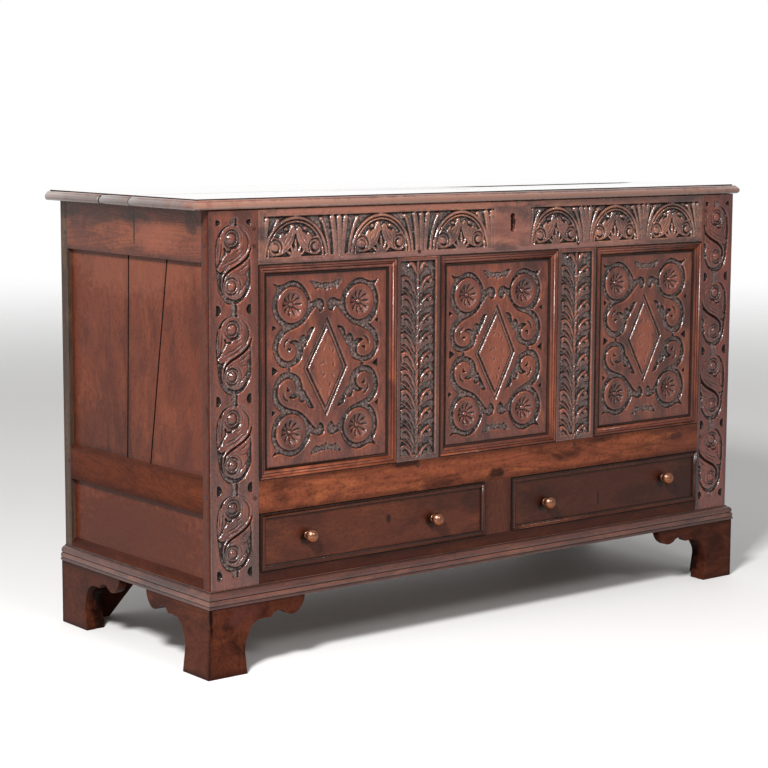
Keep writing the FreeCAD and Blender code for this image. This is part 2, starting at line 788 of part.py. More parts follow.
def bracket_wire(length, width, place):
    """Outline of a bracket: along from the corner of the foot, then up from the floor."""
    stretch = (length - width) / (219.0 - 88.0)

    def out(along):
        return width + (along - 88.0) * stretch

    steps = [
        (0, 0),
        (width, 0),
        (width - 4, 30),
        (width - 5.4, 55, width + 1.5, 75),
        (out(100), 91, out(121), 98.5),
        (out(142), 98),
        (out(157), 109, out(173), 103.5),
        (out(190), 97, out(207), 105),
        (out(215), 116, out(219), CARCASE_BOTTOM),
        (0, CARCASE_BOTTOM),
    ]
    return outline(steps, place)


def block_wire(width, place):
    """Outline of the block behind a bracket: it follows the inner curve of the foot."""
    steps = [
        (BRACKET_THICK, 0),
        (width - BLOCK_SHY, 0),
        (width - BLOCK_SHY - 4, 30),
        (width - BLOCK_SHY - 5.4, 55, width - BLOCK_SHY + 1.5, 75),
        (width + 8, 88),
        (width + 8, CARCASE_BOTTOM),
        (BRACKET_THICK, CARCASE_BOTTOM),
    ]
    return outline(steps, place)


def corner_mitre(x, y, splay, keep_front):
    """A wedge with its point at a front corner of the feet, for cutting the brackets' mitre."""
    far = 400.0
    out = splay * (CARCASE_BOTTOM + 1) / CARCASE_BOTTOM
    ends = [Vector(x - out, y - out, -1), Vector(x - out + far, y - out + far, -1)]
    third = Vector(x - out + far, y - out, -1) if keep_front else Vector(x - out, y - out + far, -1)
    rise = CARCASE_BOTTOM + 2
    lean = splay * rise / CARCASE_BOTTOM
    return prism(ends + [third], Vector(lean, lean, rise))


def front_foot(length, splay=0.0):
    """A left front foot: two shaped brackets, mitred at the corner, and a block behind them."""
    x = LEFT - FOOT_PROUD
    y = FRONT - FOOT_PROUD

    def at(across, back, h):
        out = splay * (1 - h / CARCASE_BOTTOM)
        return Vector(x + across - out, y + back - out, h)

    thick = BRACKET_THICK
    face = Part.Face(bracket_wire(length, FOOT_WIDTH, lambda s, h: at(s, 0, h)))
    front = face.extrude(BACKWARDS * thick).common(corner_mitre(x, y, splay, True))
    face = Part.Face(bracket_wire(BRACKET_SIDE_FRONT, FOOT_WIDTH, lambda s, h: at(0, s, h)))
    side = face.extrude(RIGHTWARDS * thick).common(corner_mitre(x, y, splay, False))
    behind = Part.Face(block_wire(FOOT_WIDTH, lambda s, h: at(s, thick, h))).extrude(BACKWARDS * BLOCK)
    beside = Part.Face(block_wire(FOOT_WIDTH, lambda s, h: at(thick, s, h))).extrude(RIGHTWARDS * BLOCK)
    return Part.makeCompound([front, side, join([behind, beside])])


def back_foot():
    """The left back foot: a shaped bracket on the end, a sloping brace behind and a block."""
    x = LEFT - FOOT_PROUD
    face = Part.Face(bracket_wire(BRACKET_SIDE_BACK, FOOT_WIDTH_BACK, lambda s, h: Vector(x, BACK - s, h)))
    side = face.extrude(RIGHTWARDS * BRACKET_THICK)
    inner_x = x + BRACKET_THICK
    brace_y = BACK - BRACKET_THICK
    corners = [(inner_x, 0), (x + BRACE_WIDTH, 0), (x + BRACE_LENGTH, CARCASE_BOTTOM), (inner_x, CARCASE_BOTTOM)]
    brace = prism([Vector(px, brace_y, pz) for px, pz in corners], BACKWARDS * BRACKET_THICK)
    face = Part.Face(block_wire(FOOT_WIDTH_BACK, lambda s, h: Vector(inner_x, BACK - s, h)))
    return Part.makeCompound([side, brace, face.extrude(RIGHTWARDS * BLOCK)])


# --- Lid and hinges -------------------------------------------------------------------------

def lid_edge(place, far):
    """Section of the lid from its moulded edge to a square far end: inward, then up."""
    steps = [
        (far, 0),
        (4.0, 0),
        (0.0, 6.5, 3.0, 13.2),
        (4.2, 14.0),
        (7.2, 17.2, 12.0, 18.0),
        (12.0, LID_THICK),
        (far, LID_THICK),
    ]
    return outline(steps, place)


def lid_slab():
    """The lid in one: moulded along the front and both ends, square at the back."""
    length = LID_RIGHT - LID_LEFT
    depth = BACK - LID_FRONT
    middle = length / 2
    front = Part.Face(lid_edge(lambda s, h: Vector(LID_LEFT, LID_FRONT + s, LID_BOTTOM + h), depth))
    front = front.extrude(RIGHTWARDS * length)
    left = Part.Face(lid_edge(lambda s, h: Vector(LID_LEFT + s, LID_FRONT, LID_BOTTOM + h), middle))
    right = Part.Face(lid_edge(lambda s, h: Vector(LID_RIGHT - s, LID_FRONT, LID_BOTTOM + h), middle))
    ends = join([left.extrude(BACKWARDS * depth), right.extrude(BACKWARDS * depth)])
    return front.common(ends)


def lid_tongue(grow):
    """The tongue that joins the lid's boards, or with a margin the groove for it."""
    middle = (LID_BOTTOM + LID_TOP) / 2
    half = LID_TONGUE_THICK / 2
    return box(LID_LEFT, LID_RIGHT, LID_JOINT_Y, LID_JOINT_Y + LID_TONGUE + grow, middle - half, middle + half)


def lid_front_board():
    """The wide front board of the lid, with its tongue."""
    slab = lid_slab()
    blank = slab.common(box(LID_LEFT, LID_RIGHT, LID_FRONT, LID_JOINT_Y, LID_BOTTOM, LID_TOP))
    tongue = slab.common(lid_tongue(0))
    return carve(join([blank, tongue]), [staple_plate()] + staple_screws(FIT_GAP))


def lid_back_board():
    """The back board of the lid, with the groove for the tongue and the hinge recesses."""
    blank = lid_slab().common(box(LID_LEFT, LID_RIGHT, LID_JOINT_Y, BACK, LID_BOTTOM, LID_TOP))
    recesses = [hinge_plate(x, LID_BOTTOM, LID_BOTTOM + HINGE_LEAF, BACK) for x in HINGE_X]
    return carve(blank, [lid_tongue(PANEL_SLACK)] + recesses + lid_hinge_screws(FIT_GAP))


def hinge_plate(x, z0, z1, back_y):
    """The flat of a hinge leaf."""
    return box(x - HINGE_WIDTH / 2, x + HINGE_WIDTH / 2, LEAF_FRONT_Y, back_y, z0, z1)


def knuckle_spans(x):
    """The left and right sides of a hinge's knuckles."""
    width = (HINGE_WIDTH - (KNUCKLES - 1) * KNUCKLE_GAP) / KNUCKLES
    start = x - HINGE_WIDTH / 2
    lefts = [start + index * (width + KNUCKLE_GAP) for index in range(KNUCKLES)]
    return [(left, left + width) for left in lefts]


def hinge_leaf(x, z0, z1, own, screws):
    """A hinge leaf with its own knuckles, bored for the pin and the screws."""
    plates = [hinge_plate(x, z0, z1, BACK)]
    for index, (left, right) in enumerate(knuckle_spans(x)):
        if index % 2 == own:
            plates.append(box(left, right, BACK - 0.5, HINGE_Y, z0, z1))
            barrel = Part.makeCylinder(KNUCKLE_RADIUS, right - left, Vector(left, HINGE_Y, HINGE_Z), RIGHTWARDS)
            plates.append(barrel)
    bore = Part.makeCylinder(PIN_RADIUS + FIT_GAP, HINGE_WIDTH, Vector(x - HINGE_WIDTH / 2, HINGE_Y, HINGE_Z),
                             RIGHTWARDS)
    return carve(join(plates), [bore] + screws)


def hinge_leaves_carcase():
    """The two hinge leaves let into the back top rail, with their pins."""
    z1 = CARCASE_TOP
    screws = carcase_hinge_screws(FIT_GAP)
    pieces = [hinge_leaf(x, z1 - HINGE_LEAF, z1, 0, screws) for x in HINGE_X]
    for x in HINGE_X:
        start = Vector(x - HINGE_WIDTH / 2, HINGE_Y, HINGE_Z)
        pieces.append(Part.makeCylinder(PIN_RADIUS, HINGE_WIDTH, start, RIGHTWARDS))
    return Part.makeCompound(pieces)


def hinge_leaves_lid():
    """The two hinge leaves let into the underside of the lid."""
    z0 = LID_BOTTOM
    screws = lid_hinge_screws(FIT_GAP)
    return Part.makeCompound([hinge_leaf(x, z0, z0 + HINGE_LEAF, 1, screws) for x in HINGE_X])


def screw(place, direction, grow):
    """A countersunk screw whose head is flush at place; grow makes the hole for it."""
    head = Part.makeCone(SCREW_HEAD + grow, SCREW_SHANK + grow, SCREW_HEAD - SCREW_SHANK, place, direction)
    shank = Part.makeCylinder(SCREW_SHANK + grow, SCREW_LENGTH + grow, place, direction)
    return join([head, shank])


def hinge_screw_places(z):
    """Three screws in a row on each leaf."""
    y = (LEAF_FRONT_Y + BACK) / 2
    return [Vector(x + offset, y, z) for x in HINGE_X for offset in (-20, 0, 20)]


def carcase_hinge_screws(grow):
    """The screws that hold the lower leaves."""
    return [screw(place, UP * -1, grow) for place in hinge_screw_places(CARCASE_TOP)]


def lid_hinge_screws(grow):
    """The screws that hold the upper leaves."""
    return [screw(place, UP, grow) for place in hinge_screw_places(LID_BOTTOM)]


def back_top_rail():
    """The back top rail, with recesses for the hinge leaves."""
    low = CARCASE_TOP - HINGE_LEAF
    recesses = [hinge_plate(x, low, CARCASE_TOP, BACK) for x in HINGE_X]
    return back_rail("top", back_muntin_tenons() + recesses + carcase_hinge_screws(FIT_GAP))


# --- Lock -----------------------------------------------------------------------------------

def lock_screws(grow):
    """Four screws through the corners of the lock's back plate."""
    half = LOCK_PLATE_WIDTH / 2 - 6
    places = [(LOCK_X + side * half, CARCASE_TOP - drop) for side in (-1, 1) for drop in (8, 70)]
    y = INNER_FRONT + LOCK_WALL
    return [screw(Vector(x, y, z), BACKWARDS * -1, grow) for x, z in places]


def lock_case():
    """The lock: a box with a keyhole, a slot on top for the staple, and ledges for the bolt."""
    half = LOCK_WIDTH / 2
    wall = LOCK_WALL
    plate_half = LOCK_PLATE_WIDTH / 2
    plate = box(LOCK_X - plate_half, LOCK_X + plate_half, INNER_FRONT, INNER_FRONT + wall,
                CARCASE_TOP - LOCK_PLATE_HEIGHT, CARCASE_TOP)
    outer = lock_recess()
    hollow = box(LOCK_X - half + wall, LOCK_X + half - wall, LOCK_FRONT + wall, INNER_FRONT,
                 LOCK_LOW + wall, CARCASE_TOP - wall)
    slot = box(LOCK_X - 5, LOCK_X + 5, LOCK_FRONT + wall, INNER_FRONT, CARCASE_TOP - wall - 1, CARCASE_TOP + 1)
    shell = carve(outer, [hollow, slot, keyhole(LOCK_FRONT - 1, LOCK_FRONT + wall + 1)])
    under = BOLT_HIGH - BOLT_HEIGHT - 0.5
    over = BOLT_HIGH + 0.5
    ledges = []
    for left, right in ((LOCK_X - half + wall, LOCK_X - 9), (LOCK_X + 9, LOCK_X + half - wall)):
        ledges.append(box(left, right, LOCK_FRONT + wall, INNER_FRONT, under - 3, under))
        ledges.append(box(left, right, LOCK_FRONT + wall, INNER_FRONT, over, over + 3))
    return carve(join([plate, shell] + ledges), lock_screws(FIT_GAP))


def lock_bolt():
    """The bolt, drawn back clear of the staple."""
    right = LOCK_X - STAPLE_THICK / 2 - 3
    half = BOLT_THICK / 2
    return box(right - BOLT_LENGTH, right, LOCK_MIDDLE_Y - half, LOCK_MIDDLE_Y + half,
               BOLT_HIGH - BOLT_HEIGHT, BOLT_HIGH)


def staple_plate():
    """The plate of the staple, let into the underside of the lid."""
    return box(LOCK_X - 20, LOCK_X + 20, LOCK_MIDDLE_Y - 8, LOCK_MIDDLE_Y + 8, LID_BOTTOM, LID_BOTTOM + HINGE_LEAF)


def staple_screws(grow):
    """Two screws that hold the staple's plate."""
    return [screw(Vector(LOCK_X + side * 14, LOCK_MIDDLE_Y, LID_BOTTOM), UP, grow) for side in (-1, 1)]


def lock_staple():
    """The staple under the lid: a plate and a loop that drops into the lock."""
    half_x = STAPLE_THICK / 2
    half_y = STAPLE_WIDTH / 2
    low = LID_BOTTOM - STAPLE_DROP
    loop = box(LOCK_X - half_x, LOCK_X + half_x, LOCK_MIDDLE_Y - half_y, LOCK_MIDDLE_Y + half_y, low, LID_BOTTOM)
    eye_half = BOLT_THICK / 2 + 0.5
    eye = box(LOCK_X - 5, LOCK_X + 5, LOCK_MIDDLE_Y - eye_half, LOCK_MIDDLE_Y + eye_half,
              BOLT_HIGH - BOLT_HEIGHT - 1, BOLT_HIGH + 1)
    return carve(join([staple_plate(), loop.cut(eye)]), staple_screws(FIT_GAP))


# --- Drawers --------------------------------------------------------------------------------

def drawer_edges(x0, x1):
    """The left and right sides of a drawer in its opening."""
    return x0 + SIDE_GAP, x1 - SIDE_GAP


def dovetails(x0, x1):
    """The tails of one drawer side, let into the back of the drawer front."""
    shoulder = DRAWER_FACE + DRAWER_FRONT_THICK
    pitch = DRAWER_SIDE_HEIGHT / DOVETAILS
    tails = []
    for index in range(DOVETAILS):
        middle = DRAWER_FLOOR + (index + 0.5) * pitch
        narrow = DOVETAIL_NARROW / 2
        wide = DOVETAIL_WIDE / 2
        points = [
            Vector(x0, shoulder, middle - narrow),
            Vector(x0, shoulder - DOVETAIL_LENGTH, middle - wide),
            Vector(x0, shoulder - DOVETAIL_LENGTH, middle + wide),
            Vector(x0, shoulder, middle + narrow),
        ]
        tails.append(prism(points, RIGHTWARDS * (x1 - x0)))
    return tails


def drawer_side_spans(x0, x1):
    """The thicknesses of the two sides of a drawer."""
    left, right = drawer_edges(x0, x1)
    return (left, left + DRAWER_SIDE_THICK), (right - DRAWER_SIDE_THICK, right)


def drawer_bottom(x0, x1):
    """The bottom board, in grooves in the front and the sides, under the back."""
    left, right = drawer_edges(x0, x1)
    low = DRAWER_FLOOR + DRAWER_BOTTOM_LIFT
    inset = DRAWER_SIDE_THICK / 2
    front_y = DRAWER_FACE + DRAWER_FRONT_THICK - 6
    return box(left + inset, right - inset, front_y, DRAWER_BACK_Y + DRAWER_SIDE_THICK, low, low + DRAWER_BOTTOM_THICK)


def drawer_back(x0, x1):
    """The back of a drawer, housed in its sides above the bottom board."""
    left, right = drawer_edges(x0, x1)
    housing = DRAWER_SIDE_THICK - 4
    low = DRAWER_FLOOR + DRAWER_BOTTOM_LIFT + DRAWER_BOTTOM_THICK
    return box(left + housing, right - housing, DRAWER_BACK_Y, DRAWER_BACK_Y + DRAWER_SIDE_THICK,
               low, DRAWER_FLOOR + DRAWER_SIDE_HEIGHT - 6)


def drawer_sides(x0, x1):
    """The two sides, dovetailed to the front and running on to stop against the back."""
    shoulder = DRAWER_FACE + DRAWER_FRONT_THICK
    sides = []
    for left, right in drawer_side_spans(x0, x1):
        board = box(left, right, shoulder, DRAWER_SIDE_END, DRAWER_FLOOR, DRAWER_FLOOR + DRAWER_SIDE_HEIGHT)
        whole = join([board] + dovetails(left, right))
        sides.append(carve(whole, [drawer_bottom(x0, x1), drawer_back(x0, x1)]))
    return Part.makeCompound(sides)


def drawer_front(x0, x1, knobs):
    """A drawer front, with sockets for the dovetails, a groove for the bottom and knob holes."""
    left, right = drawer_edges(x0, x1)
    low = DRAWER_FLOOR
    board = box(left, right, DRAWER_FACE, DRAWER_FACE + DRAWER_FRONT_THICK, low, low + DRAWER_FRONT_HEIGHT)
    cuts = [drawer_bottom(x0, x1)]
    for span in drawer_side_spans(x0, x1):
        cuts += dovetails(*span)
    spigot = KNOB_SPIGOT_RADIUS + FIT_GAP
    cuts += [Part.makeCylinder(spigot, KNOB_SPIGOT_LENGTH + FIT_GAP, Vector(x, DRAWER_FACE, z), BACKWARDS)
             for x, z in knobs]
    return carve(board, cuts)


def drawer_edging(x0, x1):
    """The mitred strips round the face of a drawer."""
    left, right = drawer_edges(x0, x1)
    return mitred_frame(edging_profile(), EDGING_WIDTH, left, right, DRAWER_FLOOR,
                        DRAWER_FLOOR + DRAWER_FRONT_HEIGHT, DRAWER_FACE)


def knob(x, z):
    """A turned knob: a spigot, a small rose, a neck and a flattened ball, turned about its own axis."""
    neck = KNOB_NECK_RADIUS
    rise = KNOB_PROJECTION - KNOB_WIDEST
    dome = (KNOB_RADIUS ** 2 + rise ** 2) / (2 * rise)
    middle = KNOB_PROJECTION - dome
    steps = [
        (0, -KNOB_SPIGOT_LENGTH),
        (KNOB_SPIGOT_RADIUS, -KNOB_SPIGOT_LENGTH),
        (KNOB_SPIGOT_RADIUS, 0),
        (KNOB_ROSE_RADIUS, 0),
        (KNOB_ROSE_RADIUS - 0.4, 1.4, neck, 1.8),
        (neck, KNOB_WIDEST - 7.0),
        (KNOB_RADIUS - 2.0, KNOB_WIDEST - 4.9, KNOB_RADIUS, KNOB_WIDEST),
        (dome * 0.6, middle + dome * 0.8, 0, KNOB_PROJECTION),
    ]
    wire = outline(steps, lambda r, h: Vector(x + r, DRAWER_FACE - h, z))
    return Part.Face(wire).revolve(Vector(x, DRAWER_FACE, z), BACKWARDS, 360)


# --- Writing the nodes ----------------------------------------------------------------------

def save(name, shape):
    """Write one node, moved so that the middle of the chest's base is the origin."""
    placed = shape.copy()
    placed.translate(ORIGIN * -1)
    for solid in placed.Solids:
        if not solid.isValid() or solid.Volume <= 0:
            raise ValueError(name + " holds a bad solid")
    placed.exportStep("parts/" + name + ".step")


def save_front():
    """The front frame, its panels and their mouldings."""
    save("front_stile_left", front_stile(True))
    save("front_stile_right", front_stile(False))
    save("front_top_rail", front_top_rail())
    save("front_middle_rail", front_middle_rail())
    save("front_bottom_rail", front_bottom_rail())
    save("front_muntin_left", front_muntin(MUNTIN_LEFT_X))
    save("front_muntin_right", front_muntin(MUNTIN_RIGHT_X))
    save("drawer_muntin", drawer_muntin())
    for place, (x0, x1) in FRONT_PANELS.items():
        save("front_panel_" + place, front_panel(x0, x1))
        save("panel_moulding_" + place, panel_moulding(x0, x1))


def save_ends():
    """Both end frames: the right one is the left one mirrored."""
    pieces = {"end_" + name + "_rail": end_rail(name) for name in END_RAILS}
    pieces["end_panels"] = end_panels()
    for name, shape in pieces.items():
        save(name + "_left", shape)
        save(name + "_right", mirrored(shape))


def save_back():
    """The back frame and its panels."""
    post = back_stile()
    save("back_stile_left", post)
    save("back_stile_right", mirrored(post))
    save("back_top_rail", back_top_rail())
    save("back_middle_rail", back_rail("middle", back_muntin_tenons() + [floor_groove(1)]))
    save("back_bottom_rail", back_rail("bottom", runner_stubs()))
    save("back_muntins", back_muntins())
    save("back_panels", back_panels())


def save_inside_and_base():
    """The floor, the runners, the pegs, the base moulding and the feet."""
    save("floor_boards", floor_boards())
    save("drawer_runners", drawer_runners())
    save("frame_pegs", Part.makeCompound(pegs(PEG_RADIUS)))
    save("base_mouldings", base_mouldings())
    save("foot_front_left", front_foot(BRACKET_FRONT_LEFT, FOOT_SPLAY))
    save("foot_front_right", mirrored(front_foot(BRACKET_FRONT_RIGHT)))
    save("foot_back_left", back_foot())
    save("foot_back_right", mirrored(back_foot()))


def save_lid_and_lock():
    """The lid, its hinges and the lock."""
    save("lid_front_board", lid_front_board())
    save("lid_back_board", lid_back_board())
    save("hinge_leaves_lid", hinge_leaves_lid())
    save("hinge_leaves_carcase", hinge_leaves_carcase())
    save("lock_case", lock_case())
    save("lock_bolt", lock_bolt())
    save("lock_staple", lock_staple())
    save("carcase_screws", Part.makeCompound(carcase_hinge_screws(0) + lock_screws(0)))
    save("lid_screws", Part.makeCompound(lid_hinge_screws(0) + staple_screws(0)))


def save_drawers():
    """Both drawers."""
    for place, (x0, x1, knobs) in DRAWERS.items():
        name = "drawer_" + place + "_"
        save(name + "front", drawer_front(x0, x1, knobs))
        save(name + "edging", drawer_edging(x0, x1))
        save(name + "sides", drawer_sides(x0, x1))
        save(name + "back", drawer_back(x0, x1))
        save(name + "bottom", drawer_bottom(x0, x1))
        for hand, (x, z) in zip(("left", "right"), knobs):
            save(name + "knob_" + hand, knob(x, z))


os.makedirs("parts", exist_ok=True)
save_front()
save_ends()
save_back()
save_inside_and_base()
save_lid_and_lock()
save_drawers()
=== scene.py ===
import json
import math

import bmesh
import bpy
import numpy as np
from mathutils import Matrix, Vector

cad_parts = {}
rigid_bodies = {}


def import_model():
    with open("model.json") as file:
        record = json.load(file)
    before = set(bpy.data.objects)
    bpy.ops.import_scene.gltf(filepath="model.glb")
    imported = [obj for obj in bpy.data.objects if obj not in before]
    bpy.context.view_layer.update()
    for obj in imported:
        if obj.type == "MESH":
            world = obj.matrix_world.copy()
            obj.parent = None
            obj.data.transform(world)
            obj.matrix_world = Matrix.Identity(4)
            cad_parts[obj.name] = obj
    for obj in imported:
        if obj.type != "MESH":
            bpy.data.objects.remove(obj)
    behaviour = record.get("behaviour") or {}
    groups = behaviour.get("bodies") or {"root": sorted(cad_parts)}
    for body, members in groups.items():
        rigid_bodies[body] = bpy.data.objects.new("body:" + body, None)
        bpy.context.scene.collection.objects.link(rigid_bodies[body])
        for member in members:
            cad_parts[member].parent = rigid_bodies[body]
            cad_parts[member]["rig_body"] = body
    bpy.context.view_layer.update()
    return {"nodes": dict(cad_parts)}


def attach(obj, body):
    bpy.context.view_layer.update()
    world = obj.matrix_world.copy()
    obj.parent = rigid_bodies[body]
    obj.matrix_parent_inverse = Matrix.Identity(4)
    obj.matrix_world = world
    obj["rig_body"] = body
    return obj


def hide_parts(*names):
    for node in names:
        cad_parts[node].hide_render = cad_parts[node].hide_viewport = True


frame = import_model()

bl_info = {
    "name": "Mule Chest",
    "version": (1, 1, 0),
    "blender": (4, 5, 0),
    "location": "View3D > Sidebar > Mule Chest",
    "description": "Builds a carved oak mule chest around its packed frame",
    "category": "Add Mesh",
}

MM = 0.001

# The drawings below are in millimetres, from the middle of the carcase; these move them to the frame's origin.
CARCASE_X = 10.5
CARCASE_Y = 8.25
FRONT = -269.0
PANEL_FACE = -261.0
LID_TOP = 889.0
# Faces that bend less than this are one face, and edges that bend more than this are rubbed round, in degrees.
SAME_FACE = 0.4
SHARP_EDGE = 50.0

OLD_DUST = (0.135, 0.100, 0.090)


# --- Shader nodes -----------------------------------------------------------------------------

class Wire:
    """A socket on its way through a material. Arithmetic on it adds Math nodes."""

    def __init__(self, tree, socket=None):
        self.tree = tree
        self.socket = socket

    def node(self, kind, settings, sockets, out):
        """Add a node: its settings, then the values or wires of its sockets; gives its output."""
        made = self.tree.nodes.new(kind)
        for key, value in settings.items():
            setattr(made, key, value)
        for key, value in sockets.items():
            socket = next(s for s in made.inputs if s.identifier == key)
            if isinstance(value, Wire):
                self.tree.links.new(value.socket, socket)
            else:
                socket.default_value = value
        if out is None:
            return made
        return Wire(self.tree, next(s for s in made.outputs if s.identifier == out))

    def math(self, operation, first, second=0.0):
        return self.node("ShaderNodeMath", {"operation": operation}, {"Value": first, "Value_001": second}, "Value")

    def __add__(self, other):
        return self.math("ADD", self, other)

    __radd__ = __add__

    def __sub__(self, other):
        return self.math("SUBTRACT", self, other)

    def __rsub__(self, other):
        return self.math("SUBTRACT", other, self)

    def __mul__(self, other):
        return self.math("MULTIPLY", self, other)

    __rmul__ = __mul__

    def sine(self):
        return self.math("SINE", self)

    def most(self, other):
        """The larger of this and another value."""
        return self.math("MAXIMUM", self, other)

    def vector(self, operation, other=(0, 0, 0), out="Vector"):
        """Vector arithmetic with another vector."""
        return self.node("ShaderNodeVectorMath", {"operation": operation}, {"Vector": self, "Vector_001": other}, out)

    def length(self):
        return self.vector("LENGTH", out="Value")

    def parts(self):
        """A vector's three numbers."""
        split = self.node("ShaderNodeSeparateXYZ", {}, {"Vector": self}, None)
        return [Wire(self.tree, out) for out in split.outputs]

    def ease(self, low, high):
        """0 up to low, 1 from high on, smooth between."""
        return self.node("ShaderNodeMapRange", {"interpolation_type": "SMOOTHSTEP"},
                         {"Value": self, "From Min": low, "From Max": high}, "Result")

    def noise(self, amounts, detail=3.0, roughness=0.55, distortion=0.0):
        """Noise on this vector, with so many features to the metre each way."""
        return self.node("ShaderNodeTexNoise", {},
                         {"Vector": self.vector("MULTIPLY", amounts), "Scale": 1.0, "Detail": detail,
                          "Roughness": roughness, "Distortion": distortion}, "Fac")

    def blend(self, first, second, share):
        """Colours first and second, mixed by a share."""
        return self.node("ShaderNodeMix", {"data_type": "RGBA"},
                         {"Factor_Float": share, "A_Color": first, "B_Color": second}, "Result_Color")

    def mark(self, name, out="Fac"):
        """A value that the mesh carries."""
        return self.node("ShaderNodeAttribute", {"attribute_name": name}, {}, out)

    def place(self, kind="Object"):
        """Where a point is on the object or, for the surrounding, in which direction."""
        return self.node("ShaderNodeTexCoord", {}, {}, kind)

    def facing(self):
        """Which way the surface looks."""
        return self.node("ShaderNodeNewGeometry", {}, {}, "Normal")

    def bump(self, strength, distance, height):
        return self.node("ShaderNodeBump", {}, {"Strength": strength, "Distance": distance, "Height": height}, "Normal")

    def solid(self, sockets):
        """The shader of a solid surface."""
        return self.node("ShaderNodeBsdfPrincipled", {}, sockets, "BSDF")

    def either(self, first, second, share):
        """Shaders first and second, mixed by a share."""
        return self.node("ShaderNodeMixShader", {}, {"Fac": share, "Shader": first, "Shader_001": second}, "Shader")

    def finish(self, surface, kind="Material"):
        """Close a material or a world with its last shader."""
        self.node("ShaderNodeOutput" + kind, {}, {"Surface": surface}, None)


def colour4(colour, share=1.0):
    """A colour with alpha, darkened to a share."""
    return (colour[0] * share, colour[1] * share, colour[2] * share, 1.0)


def new_bench(owner):
    """An emptied node tree of a material or a world, as a wire to start from."""
    owner.use_nodes = True
    owner.node_tree.nodes.clear()
    return Wire(owner.node_tree)


def carcase_point(point):
    """A point of the drawings in the frame, in metres."""
    return ((point[0] + CARCASE_X) * MM, (point[1] + CARCASE_Y) * MM, point[2] * MM)


def reach_from(place, spot, size, uneven):
    """How far points are from a spot of the drawings, where 1 is its size, with an uneven outline."""
    return place.vector("SUBTRACT", carcase_point(spot)).vector("DIVIDE", [s * MM for s in size]).length() + uneven


